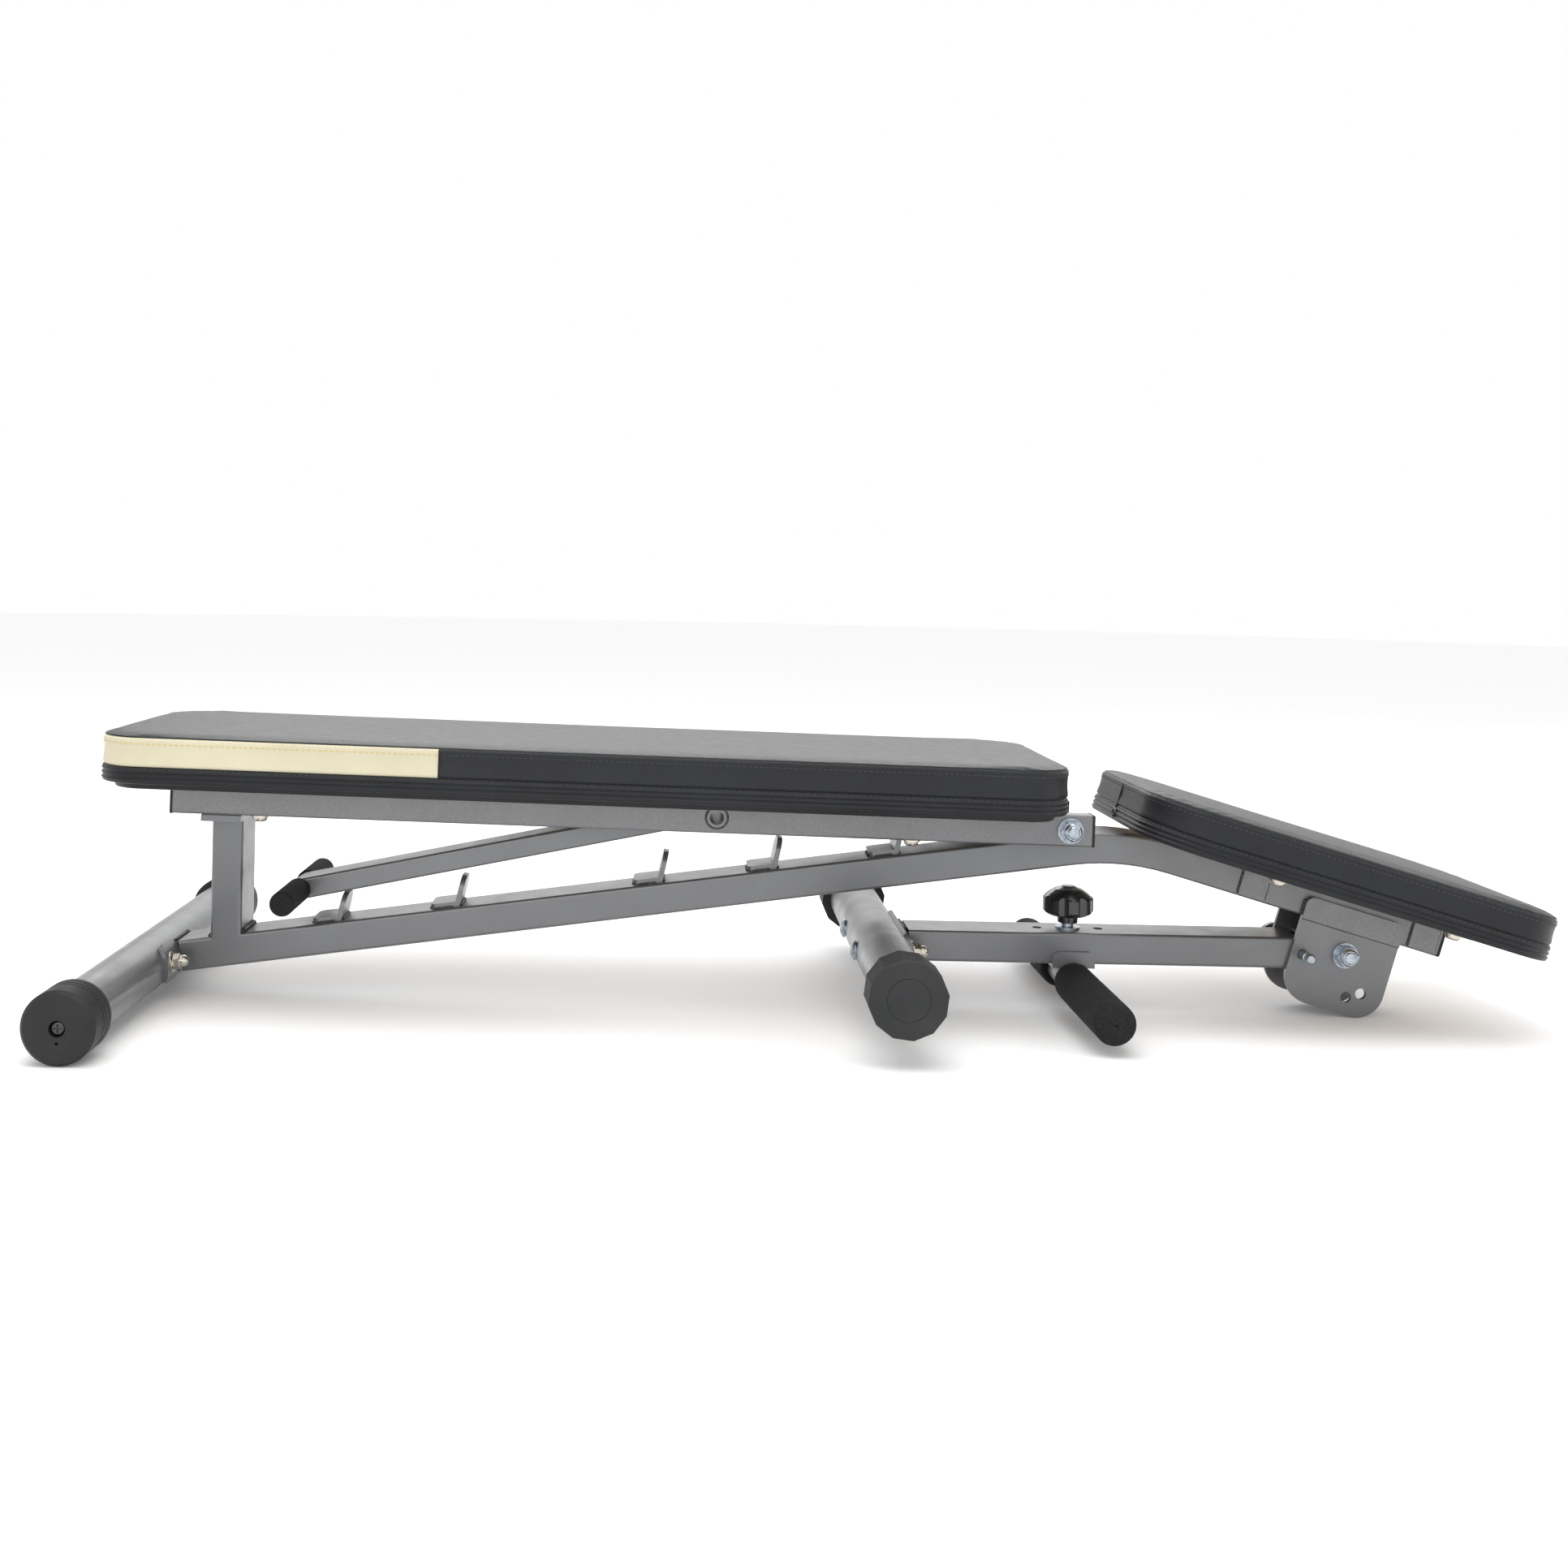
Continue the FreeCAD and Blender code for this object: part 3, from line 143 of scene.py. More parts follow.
# ------------------------------------------------------------------ materials
class Shader:
    """A Principled material with a few texture helpers in object space."""

    def __init__(self, name, colour, metallic=0.0, roughness=0.5, **sockets):
        self.material = bpy.data.materials.new(name)
        self.material.use_nodes = True
        self.tree = self.material.node_tree
        self.bsdf = self.tree.nodes["Principled BSDF"]
        self.set("Base Color", (*colour, 1))
        self.set("Metallic", metallic)
        self.set("Roughness", roughness)
        for socket, value in sockets.items():
            self.set(socket.replace("_", " "), value)
        self.coords = self.node("ShaderNodeTexCoord").outputs["Object"]
        self.height = None

    def set(self, socket, value):
        self.bsdf.inputs[socket].default_value = value

    def node(self, kind, **values):
        node = self.tree.nodes.new(kind)
        for key, value in values.items():
            setattr(node, key, value)
        return node

    def link(self, a, b):
        self.tree.links.new(a, b)

    def stretched(self, x, y, z):
        mapping = self.node("ShaderNodeMapping")
        mapping.inputs["Scale"].default_value = (x, y, z)
        self.link(self.coords, mapping.inputs["Vector"])
        return mapping.outputs["Vector"]

    def noise(self, scale, detail=3.0, rough=0.5, coords=None):
        node = self.node("ShaderNodeTexNoise")
        node.inputs["Scale"].default_value = scale
        node.inputs["Detail"].default_value = detail
        node.inputs["Roughness"].default_value = rough
        self.link(coords or self.coords, node.inputs["Vector"])
        return node.outputs["Fac"]

    def cells(self, scale, feature):
        node = self.node("ShaderNodeTexVoronoi", feature=feature)
        node.inputs["Scale"].default_value = scale
        self.link(self.coords, node.inputs["Vector"])
        return node.outputs["Distance"]

    def remap(self, value, low, high, out_low, out_high):
        node = self.node("ShaderNodeMapRange")
        for key, number in (("From Min", low), ("From Max", high),
                            ("To Min", out_low), ("To Max", out_high)):
            node.inputs[key].default_value = number
        self.link(value, node.inputs["Value"])
        return node.outputs["Result"]

    def blend(self, factor, a, b):
        """Colour mix. Sockets 6, 7 and output 2 are the mix node's colour ones."""
        node = self.node("ShaderNodeMix", data_type="RGBA")
        self.link(factor, node.inputs["Factor"])
        for socket, value in ((node.inputs[6], a), (node.inputs[7], b)):
            if isinstance(value, tuple):
                socket.default_value = (*value, 1)
            else:
                self.link(value, socket)
        return node.outputs[2]

    def colour(self, output):
        self.link(output, self.bsdf.inputs["Base Color"])

    def mottle(self, pattern, low, high, dark, light):
        """Base colour from dark to light as the pattern goes from low to high."""
        self.colour(self.blend(self.remap(pattern, low, high, 0, 1), dark, light))

    def roughness(self, output):
        self.link(output, self.bsdf.inputs["Roughness"])

    def bump(self, output, distance, strength):
        node = self.node("ShaderNodeBump")
        node.inputs["Strength"].default_value = strength
        node.inputs["Distance"].default_value = distance
        self.link(output, node.inputs["Height"])
        if self.height is not None:
            self.link(self.height, node.inputs["Normal"])
        self.height = node.outputs["Normal"]
        self.link(self.height, self.bsdf.inputs["Normal"])


def powder_coat():
    s = Shader("powder_coat", (0.15, 0.155, 0.16), 0.6, 0.36, Coat_Weight=0.2,
               Coat_Roughness=0.2)
    flakes = s.remap(s.noise(2600, 1.0), 0.35, 0.7, 0.0, 1.0)
    fine = s.blend(flakes, (0.125, 0.128, 0.133), (0.235, 0.240, 0.246))
    tone = s.remap(s.noise(9, 4.0), 0.35, 0.65, 0.0, 0.16)
    s.colour(s.blend(tone, fine, (0.11, 0.11, 0.115)))
    s.roughness(s.remap(s.noise(40, 3.0), 0.3, 0.7, 0.31, 0.42))
    s.bump(s.noise(900, 2.0), 0.00006, 0.6)
    return s.material


def weld_coat():
    s = Shader("weld_coat", (0.06, 0.06, 0.062), 0.5, 0.42)
    s.mottle(s.noise(500, 4.0), 0.35, 0.65, (0.030, 0.030, 0.032), (0.10, 0.10, 0.104))
    s.bump(s.noise(1100, 3.0), 0.0002, 0.6)
    return s.material


def plated(name, low, high, roughness):
    s = Shader(name, low, 1.0, roughness)
    s.mottle(s.noise(260, 4.0), 0.3, 0.7, low, high)
    s.roughness(s.remap(s.noise(700, 3.0), 0.3, 0.7, roughness - 0.06, roughness + 0.1))
    s.bump(s.noise(1500, 2.0), 0.00003, 0.4)
    return s.material


def moulded(name, dark, light, roughness, grain, depth, **sockets):
    s = Shader(name, dark, 0.0, roughness, **sockets)
    s.mottle(s.noise(30, 5.0), 0.35, 0.7, dark, light)
    s.roughness(s.remap(s.noise(120, 3.0), 0.3, 0.7, roughness - 0.05, roughness + 0.07))
    s.bump(s.noise(grain, 3.0), depth, 0.8)
    return s.material


def vinyl(name, dark, light, roughness):
    s = Shader(name, dark, 0.0, roughness, Specular_IOR_Level=0.24)
    s.mottle(s.noise(14, 5.0), 0.3, 0.7, dark, light)
    s.roughness(s.remap(s.noise(90, 4.0), 0.3, 0.7, roughness - 0.02, roughness + 0.03))
    s.bump(s.remap(s.cells(680, "DISTANCE_TO_EDGE"), 0.0, 0.18, 0, 1), 0.00016, 0.5)
    s.bump(s.noise(420, 4.0, 0.6), 0.00012, 0.3)
    return s.material


def foam(name):
    s = Shader(name, (0.010, 0.010, 0.010), 0.0, 0.85, Specular_IOR_Level=0.22)
    # Painted shade: the pores, which the bump below sinks, are painted darker than the skin between them.
    s.mottle(s.cells(700, "F1"), 0.15, 0.75, (0.007, 0.007, 0.007), (0.017, 0.017, 0.018))
    s.bump(s.cells(700, "F1"), 0.0002, 0.5)
    s.bump(s.noise(90, 4.0), 0.0004, 0.3)
    return s.material


def plywood(name):
    s = Shader(name, (0.45, 0.31, 0.18), 0.0, 0.65)
    grain = s.noise(26, 6.0, 0.6, s.stretched(0.25, 3.0, 1.0))
    s.mottle(grain, 0.3, 0.7, (0.30, 0.19, 0.10), (0.60, 0.44, 0.27))
    s.bump(grain, 0.0004, 0.5)
    return s.material


def thread(name, colour):
    s = Shader(name, colour, 0.0, 0.6)
    # Painted shade and painted highlight: the thread is painted darker in the twist's grooves and lighter on its
    # ridges, from the same noise that drives the bump.
    twist = s.noise(1400, 2.0)
    painted_groove_shade = tuple(c * 0.7 for c in colour)
    light = tuple(min(1, c * 1.2) for c in colour)
    s.colour(s.blend(twist, painted_groove_shade, light))
    s.bump(twist, 0.0002, 0.6)
    return s.material


MATERIALS = {
    "powder_coat": powder_coat(),
    "nickel_steel": plated("nickel_steel", (0.42, 0.385, 0.33), (0.66, 0.62, 0.55), 0.24),
    "zinc_steel": plated("zinc_steel", (0.26, 0.30, 0.35), (0.50, 0.54, 0.59), 0.30),
    "black_plastic": moulded("black_plastic", (0.013, 0.013, 0.014), (0.020, 0.020, 0.021),
                             0.55, 900, 0.00012, Specular_IOR_Level=0.3),
    "foot_rubber": moulded("foot_rubber", (0.020, 0.021, 0.022), (0.030, 0.030, 0.032),
                           0.62, 700, 0.0002, Specular_IOR_Level=0.3),
    "gloss_black": moulded("gloss_black", (0.008, 0.008, 0.008), (0.014, 0.014, 0.014),
                           0.22, 300, 0.00004, Coat_Weight=0.5, Coat_Roughness=0.08),
    "foam_rubber": foam("foam_rubber"),
    "plywood": plywood("plywood"),
    "vinyl": vinyl("vinyl", (0.0115, 0.0120, 0.0135), (0.0160, 0.0170, 0.0190), 0.36),
}
WELD = weld_coat()
CREAM = vinyl("vinyl_cream", (0.56, 0.515, 0.37), (0.61, 0.57, 0.42), 0.45)
YELLOW_THREAD = thread("thread_yellow", (0.62, 0.47, 0.16))
CREAM_THREAD = thread("thread_cream", (0.80, 0.74, 0.55))
GREY_THREAD = thread("thread_grey", (0.035, 0.035, 0.037))

SLOT_OF = {p["node"]: p["material_slot"] for p in frame["record"]["subparts"]}
for name, obj in NODES.items():
    finish = MATERIALS[SLOT_OF[name]]
    if obj.material_slots:
        for s in obj.material_slots:
            s.material = finish
    else:
        obj.data.materials.append(finish)


# ----------------------------------------------------------------------- pads
# Lengths in millimetres. A ring is the pad's plan drawn in by an inset, at a height w
# above the cushion's lower edge.
BACK_LENGTH = 895.7
SEAT_LENGTH = 393.7
HALF_WIDTH = 131.0
CREAM_TO = -132.0                # the cream band runs from the head end to this u
PLAN_SPACING = 3.6
HOLLOW_INSET = 13.7              # the hollow that holds the board
HOLLOW_DEPTH = 12.7
HOLLOW_REACH = 0.9
LOWER_EDGE = ((4.5, 0.1), (1.6, 0.5), (0.6, 1.3))
RIDGES = (3.6, 7.9, 12.2)
RIDGE_SHAPE = ((-1.5, 1.0), (-0.9, 0.1), (0.0, -0.3), (0.9, 0.1), (1.5, 1.0))
LOWER_BAND = 16.0
BOXING_STEPS = 7
ROLL_SHAPE = ((1.9, 1.5), (3.0, 2.6), (5.4, 3.3), (9.0, 3.7))
SHOULDER_INSET, SHOULDER_RISE = ROLL_SHAPE[-1]
TOP_STEPS = 18
TOP_REACH = 0.94
CROWN_EASE = 80                  # the crown fades out over this length at each end
GATHER_PITCH = 11.0
CLOTH_FRAMES = 20
CLOTH_PRESSURE = 4.0
CLOTH_TRAVEL = 1.2               # no point moves further than this


def plan_points(length, half_width, rear_r, front_r):
    """Half of a rounded plan from the front middle to the rear middle: (u, y, nu, ny)."""
    parts = []

    def line(u0, y0, u1, y1, nu, ny):
        size = math.hypot(u1 - u0, y1 - y0)

        def point(s):
            return u0 + (u1 - u0) * s / size, y0 + (y1 - y0) * s / size, nu, ny
        parts.append((size, point))

    def arc(cu, cy, r, start):
        def point(s):
            a = start + s / r
            return cu + r * math.cos(a), cy + r * math.sin(a), math.cos(a), math.sin(a)
        parts.append((r * math.pi / 2, point))

    half = length / 2
    line(half, 0, half, half_width - front_r, 1, 0)
    arc(half - front_r, half_width - front_r, front_r, 0)
    line(half - front_r, half_width, rear_r - half, half_width, 0, 1)
    arc(rear_r - half, half_width - rear_r, rear_r, math.pi / 2)
    line(-half, half_width - rear_r, -half, 0, -1, 0)
    total = sum(p[0] for p in parts)
    count = round(total / PLAN_SPACING)
    points = []
    for i in range(count + 1):
        s = total * i / count
        for size, point in parts:
            if s <= size + 1e-9:
                points.append(point(min(s, size)))
                break
            s -= size
    return points


class Pad:
    """Upholstered pad: ridged lower band, sewn boxing band and a crowned top.

    edge is the height of the top seam, crown the rise from there to the top, and roll
    scales the rounding over the seam. A skirt folds down over the board's edge.
    """

    def __init__(self, name, place, length, rear_r, front_r, edge, crown,
                 cream_to=-math.inf, skirt=0.0, rear_bulge=0.0, roll=1.0):
        self.name = name
        self.place = place
        self.base = -(edge + crown)
        self.edge = edge
        self.half = length / 2
        half = plan_points(length, HALF_WIDTH, rear_r, front_r)
        other = [(u, -y, nu, -ny) for u, y, nu, ny in reversed(half[1:-1])]
        self.plan = [(u - self.bulge(u, y, rear_r) * rear_bulge, y, nu, ny)
                     for u, y, nu, ny in half + other]
        self.count = len(self.plan)
        self.cream_to = cream_to
        self.rings = []
        self.names = {}
        self.build(crown, skirt, roll)
        self.make_mesh()

    def bulge(self, u, y, corner):
        """How far the rear end bows out at (u, y), from 0 at the corners to 1."""
        return 1 - (y / HALF_WIDTH) ** 2 if u < corner - self.half else 0.0

    def ring(self, inset, w, pinned=True, name=None):
        if name:
            self.names[name] = len(self.rings)
        points = [(u - nu * inset, y - ny * inset, w) for u, y, nu, ny in self.plan]
        self.rings.append((points, pinned))

    def inner_ring(self, start, amount, w, pinned, crown=0.0):
        """Ring part of the way in towards the pad's middle line, lower near the ends."""
        points = []
        for u, y, nu, ny in self.plan:
            su, sy = u - nu * start, y - ny * start
            side = (abs(y) / HALF_WIDTH) ** 3
            mu = (1 - side) * (self.half - 0.35 * HALF_WIDTH)
            mu += side * abs(u) * (1 - HALF_WIDTH / self.half)
            pu = su + (math.copysign(mu, u) - su) * amount
            f = min(1.0, (self.half - abs(pu)) / CROWN_EASE)
            points.append((pu, sy * (1 - amount), w + crown * f * f * (3 - 2 * f)))
        self.rings.append((points, pinned))

    def build(self, crown, skirt, roll):
        """Rings from the hollow's ceiling down its wall, up the bands and over the top."""
        self.inner_ring(HOLLOW_INSET, HOLLOW_REACH, HOLLOW_DEPTH, True)
        self.ring(HOLLOW_INSET, HOLLOW_DEPTH)
        if skirt:
            rim = ((HOLLOW_INSET, 0.3 - skirt), (12.2, 0.2 - skirt), (11.6, -0.8), (10.6, 0.1))
        else:
            rim = ((HOLLOW_INSET, 0.5), (12.0, 0.1))
        for inset, w in rim + LOWER_EDGE:
            self.ring(inset, w)
        for w in RIDGES:
            for dw, inset in RIDGE_SHAPE:
                self.ring(inset, w + dw)
        self.ring(0.8, LOWER_BAND - 1.9, name="band_stitch")
        self.ring(0.8, LOWER_BAND - 1.0)
        self.ring(1.9, LOWER_BAND - 0.3)
        self.ring(2.1, LOWER_BAND + 0.2, name="lower_seam")
        self.ring(1.2, LOWER_BAND + 0.9)
        for i in range(BOXING_STEPS + 1):
            f = i / BOXING_STEPS
            w = LOWER_BAND + 2.0 + (self.edge - LOWER_BAND - 4.4) * f
            label = "topstitch" if i == BOXING_STEPS - 1 else None
            self.ring(0.5 + 0.9 * math.sin(math.pi * f), w, name=label)
        self.ring(1.0, self.edge - 1.2, name="under_seam")
        self.ring(2.3, self.edge - 0.3, name="top_seam")
        self.ring(2.2, self.edge + 0.4 * roll)
        for inset, rise in ROLL_SHAPE:
            self.ring(inset, self.edge + rise * roll, pinned=False)
        shoulder = SHOULDER_RISE * roll
        for i in range(1, TOP_STEPS + 1):
            f = TOP_REACH * i / TOP_STEPS
            rise = (crown - shoulder - 0.9) * math.sin(math.pi / 2 * f)
            self.inner_ring(SHOULDER_INSET, f, self.edge + shoulder, False, rise)

    def make_mesh(self):
        n = self.count
        verts = []
        self.pins = []
        for k, (points, pinned) in enumerate(self.rings):
            verts += [self.place(u, y, w + self.base) for u, y, w in points]
            if pinned:
                self.pins += range(k * n, (k + 1) * n)

        faces = []
        last = (len(self.rings) - 1) * n
        for first, flip in ((0, True), (last, False)):
            for i in range(n // 2):
                loop = [first + v for v in (i, i + 1, (n - i - 1) % n, (n - i) % n)]
                face = [v for a, v in enumerate(loop) if v != loop[a - 1]]
                faces.append(face[::-1] if flip else face)
        kinds = [0] * len(faces)
        faces += tube_faces(0, len(self.rings), n)
        for k in range(len(self.rings) - 1):
            band = self.names["lower_seam"] <= k < self.names["top_seam"]
            for i in range(n):
                middle = (self.plan[i][0] + self.plan[(i + 1) % n][0]) / 2
                kinds.append(1 if band and middle < self.cream_to else 0)
        self.obj = new_object(self.name, verts, faces, (MATERIALS["vinyl"], CREAM), kinds)

    def inflate(self):
        """Blows the top up between its seams with Cloth, then caps how far it moved."""
        group = self.obj.vertex_groups.new(name="pin")
        group.add(self.pins, 1.0, "REPLACE")
        cloth = self.obj.modifiers.new("cloth", "CLOTH")
        cloth.settings.quality = 4
        cloth.settings.mass = 0.3
        cloth.settings.tension_stiffness = 30
        cloth.settings.compression_stiffness = 30
        cloth.settings.bending_stiffness = 2
        cloth.settings.vertex_group_mass = "pin"
        cloth.settings.use_pressure = True
        cloth.settings.uniform_pressure_force = CLOTH_PRESSURE
        cloth.settings.effector_weights.gravity = 0
        cloth.collision_settings.use_collision = False
        cloth.point_cache.frame_start = 1
        cloth.point_cache.frame_end = CLOTH_FRAMES
        for f in range(1, CLOTH_FRAMES + 1):
            scene.frame_set(f)
        evaluated = self.obj.evaluated_get(bpy.context.evaluated_depsgraph_get())
        moved = self.read(evaluated.data)
        start = self.read(self.obj.data)
        self.obj.modifiers.remove(cloth)
        scene.frame_set(1)
        step = moved - start
        size = np.linalg.norm(step, axis=1, keepdims=True)
        limit = CLOTH_TRAVEL * MM
        scaled = limit * np.tanh(size / limit)
        step *= np.where(size > 1e-9, scaled / np.maximum(size, 1e-9), 0)
        self.write(start + step)
        print("inflated", self.name, "largest raw move mm", float(size.max() / MM))

    def read(self, mesh):
        out = np.empty(len(mesh.vertices) * 3)
        mesh.vertices.foreach_get("co", out)
        return out.reshape(-1, 3)

    def write(self, points):
        self.obj.data.vertices.foreach_set("co", points.ravel())
        self.obj.data.update()

    def pucker(self):
        """Short gathers where the boxing meets the top seam, and slow waves on the band."""
        points = self.read(self.obj.data)
        top = self.names["top_seam"]
        for k, amount in ((top - 1, 0.35), (top + 1, 0.25), (top + 2, 0.3), (top + 3, 0.15),
                          (self.names["topstitch"], 0.15), (self.names["lower_seam"] + 1, 0.2)):
            for i, (_, _, nu, ny) in enumerate(self.plan):
                wave = math.sin(i * PLAN_SPACING / GATHER_PITCH * 2 * math.pi)
                wave += 0.6 * math.sin(i * 0.37 + k)
                out = self.place.u * nu + Vector((0, ny, 0))
                points[k * self.count + i] += np.array(out * (amount * wave * MM))
        self.write(points)

    def line(self, ring, low=-math.inf, high=math.inf):
        """Runs of a ring's neighbouring points with low <= u < high: (point, outward)."""
        points = self.read(self.obj.data)
        k = self.names[ring]
        runs = [[]]
        for i in list(range(self.count)) + [0]:
            u, _, nu, ny = self.plan[i]
            if low <= u < high:
                p = Vector(points[k * self.count + i])
                runs[-1].append((p, self.place.u * nu + Vector((0, ny, 0))))
            elif runs[-1]:
                runs.append([])
        return [r for r in runs if len(r) > 2]


STITCH_STATIONS = ((-0.5, 0.25), (-0.38, 0.85), (-0.1, 1.0), (0.1, 1.0), (0.38, 0.85), (0.5, 0.25))
STITCH_SIDES = 6


def stitched(name, runs, finish, pitch, length, radius, lift, across=0.0):
    """A row of separate stitches along runs of (point, outward) pairs, in millimetres."""
    verts = []
    faces = []
    for run in runs:
        lengths = [0.0]
        for (a, _), (b, _) in zip(run, run[1:]):
            lengths.append(lengths[-1] + (b - a).length)
        count = int(lengths[-1] / (pitch * MM))
        k = 0
        for i in range(count):
            s = (i + 0.5) * lengths[-1] / count
            while k < len(run) - 2 and lengths[k + 1] < s:
                k += 1
            f = (s - lengths[k]) / max(lengths[k + 1] - lengths[k], 1e-9)
            (a, na), (b, nb) = run[k], run[k + 1]
            out = (na + (nb - na) * f).normalized()
            centre = a + (b - a) * f + out * lift * MM
            along = (b - a).normalized()
            side = along.cross(out).normalized()
            along = (along * math.cos(across) + side * math.sin(across)).normalized()
            side = along.cross(out).normalized()
            first = len(verts)
            for t, size in STITCH_STATIONS:
                dip = out * (-1.6 * radius * MM * (2 * t) ** 4)
                for j in range(STITCH_SIDES):
                    a2 = turn(j, STITCH_SIDES)
                    ring = (side * math.cos(a2) + out * math.sin(a2)) * radius * size * MM
                    verts.append(centre + along * t * length * MM + dip + ring)
            faces += tube_faces(first, len(STITCH_STATIONS), STITCH_SIDES)
            faces += end_faces(first, len(STITCH_STATIONS), STITCH_SIDES)
    return new_object(name, verts, faces, (finish,))


def trim(piece, body):
    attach(piece, body)


back_pad = Pad("backrest_cushion", BACK_TOP, BACK_LENGTH, rear_r=42.0, front_r=42.0,
               edge=42.6, crown=2.9, cream_to=CREAM_TO, skirt=5.5, rear_bulge=2.5, roll=0.65)
seat_pad = Pad("seat_cushion", SEAT_TOP, SEAT_LENGTH, rear_r=60.0, front_r=45.0,
               edge=40.0, crown=6.0)
for pad, body, node in ((back_pad, "backrest", "backrest_pad"), (seat_pad, "frame", "seat_pad")):
    pad.inflate()
    pad.pucker()
    smoother = pad.obj.modifiers.new("smooth", "SUBSURF")
    smoother.levels = 1
    smoother.render_levels = 1
    smoother.use_limit_surface = False
    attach(pad.obj, body)
    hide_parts(node)

TOPSTITCH = {"pitch": 5.2, "length": 3.9, "radius": 0.42, "lift": 0.25}
WHIP = {"pitch": 2.6, "length": 2.4, "radius": 0.30, "lift": 0.15, "across": 1.15}
BAND_STITCH = {"pitch": 5.6, "length": 4.0, "radius": 0.34, "lift": 0.1}
trim(stitched("backrest_topstitch_cream", back_pad.line("topstitch", high=CREAM_TO),
              YELLOW_THREAD, **TOPSTITCH), "backrest")
trim(stitched("backrest_seam_whip", back_pad.line("under_seam", high=CREAM_TO),
              CREAM_THREAD, **WHIP), "backrest")
trim(stitched("backrest_topstitch_black", back_pad.line("topstitch", low=CREAM_TO),
              GREY_THREAD, **TOPSTITCH), "backrest")
trim(stitched("seat_topstitch", seat_pad.line("topstitch"), GREY_THREAD, **TOPSTITCH), "frame")
for pad, body in ((back_pad, "backrest"), (seat_pad, "frame")):
    trim(stitched(pad.name + "_band_stitch", pad.line("band_stitch"), GREY_THREAD,
                  **BAND_STITCH), body)


# ------------------------------------------------------------ cords and beads
CORD_SIDES = 8
WELD_RIPPLE = 0.32
WELD_PITCH = 2.4


def cord(name, runs, radius, finish, ripple=0.0):
    """Round cords along lists of points in metres; a ripple makes them weld beads."""
    verts = []
    faces = []
    for points in runs:
        closed = (points[0] - points[-1]).length < 1e-9
        steps = [0.0]
        for a, b in zip(points, points[1:]):
            steps.append(steps[-1] + (b - a).length)
        count = max(4, int(steps[-1] / (0.7 * MM)))
        k = 0
        first = len(verts)
        for i in range(count + 1):
            s = steps[-1] * i / count
            while k < len(points) - 2 and steps[k + 1] < s:
                k += 1
            f = (s - steps[k]) / max(steps[k + 1] - steps[k], 1e-12)
            along = (points[k + 1] - points[k]).normalized()
            centre = points[k].lerp(points[k + 1], f)
            side = along.cross(Vector((0.31, 0.52, 0.79))).normalized()
            up = along.cross(side)
            taper = 1.0 if closed else min(1.0, 0.35 + 0.65 * min(i, count - i) / 2)
            size = 1 - ripple * abs(math.cos(math.pi * s / (WELD_PITCH * MM)))
            size *= taper * (1 + ripple * random.uniform(-0.25, 0.25)) * radius * MM
            for j in range(CORD_SIDES):
                a = turn(j, CORD_SIDES)
                verts.append(centre + (side * math.cos(a) + up * math.sin(a)) * size)
        faces += tube_faces(first, count + 1, CORD_SIDES)
        faces += end_faces(first, count + 1, CORD_SIDES)
    return new_object(name, verts, faces, (finish,))


def weld(name, runs, radius, body):
    piece = cord(name, runs, radius, WELD, WELD_RIPPLE)
    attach(piece, body)


def span(place, a, b):
    """Straight run between two of a place's points."""
    return [place(*a), place(*b)]


def across(place, u, half, w):
    """Straight run square across a member."""
    return [place(u, -half, w), place(u, half, w)]


def level(x, half, z):
    """The same for a plain position in metres."""
    return [Vector((x, -half, z)), Vector((x, half, z))]


def both(run_of):
    """The same run on the near and the far side."""
    return [run_of(1), run_of(-1)]


def hoop(place, u, w, y, radius, start=0, end=360):
    turns = [math.radians(start + (end - start) * i / 40) for i in range(41)]
    points = [place(u + radius * math.cos(a), y, w + radius * math.sin(a)) for a in turns]
    if end - start == 360:
        points[-1] = points[0].copy()
    return points


# Joins in the bands: two upright ones in the backrest's, one at each end of the seat's.
join_y = HALF_WIDTH - 0.8
join_low = back_pad.base + LOWER_BAND + 0.7
join_high = back_pad.base + back_pad.edge - 1.9
trim(cord("backrest_join", both(lambda k: span(BACK_TOP, (CREAM_TO, k * join_y, join_low),
                                               (CREAM_TO, k * join_y, join_high))),
          0.75, MATERIALS["vinyl"]), "backrest")
SEAT_JOIN = ((0.4, 15), (1.2, 17), (0.9, 38))
seat_join = [[SEAT_TOP(end * (seat_pad.half - inset), 0, seat_pad.base + w)
              for inset, w in (start,) + SEAT_JOIN]
             for end, start in ((-1, (0.4, 12.5)), (1, (0.5, 1.5)))]
trim(cord("seat_join", seat_join, 0.9, MATERIALS["vinyl"]), "frame")

EYELET_SHAPE = ((5.2, 0.4), (5.0, -0.5), (4.2, -1.1), (3.2, -0.9), (2.6, -0.2), (2.5, 1.4))
EYELET_SIDES = 32


def eyelet(name, place, u, w, body):
    """Metal ring pressed through the band, facing -u, with a dark floor."""
    verts = []
    for r, out in EYELET_SHAPE:
        for j in range(EYELET_SIDES):
            a = turn(j, EYELET_SIDES)
            verts.append(place(u + out, r * math.cos(a), w + r * math.sin(a)))
    faces = tube_faces(0, len(EYELET_SHAPE), EYELET_SIDES)
    kinds = [0] * len(faces) + [1]
    faces.append(end_faces(0, len(EYELET_SHAPE), EYELET_SIDES)[1])
    piece = new_object(name, verts, faces, (WELD, MATERIALS["gloss_black"]), kinds)
    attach(piece, body)


eyelet("seat_eyelet", SEAT_TOP, -seat_pad.half - 0.2, seat_pad.base + 7.9, "frame")

# Positions along the members and of their faces are the CAD's own, in millimetres.
PRONGS = (187.4, 303.4, 502.3, 614.4, 734.1)
BEAM_HALF = 15
BEAM_TOP = 15.4
FOOT_RADIUS = 25.4
SADDLE_ARC = ((-14, 25.7), (-7, 28.5), (0, 29.4), (7, 28.5), (14, 25.7))
SEAT_PAD_U = -135.65
SEAT_PAD_W = 63.5
CROSS_PLATES = (-189.5, -17.0)
LEG_BRACKET_ENDS = (-137.9, -39.1)
CROSS_BAR_U = -413


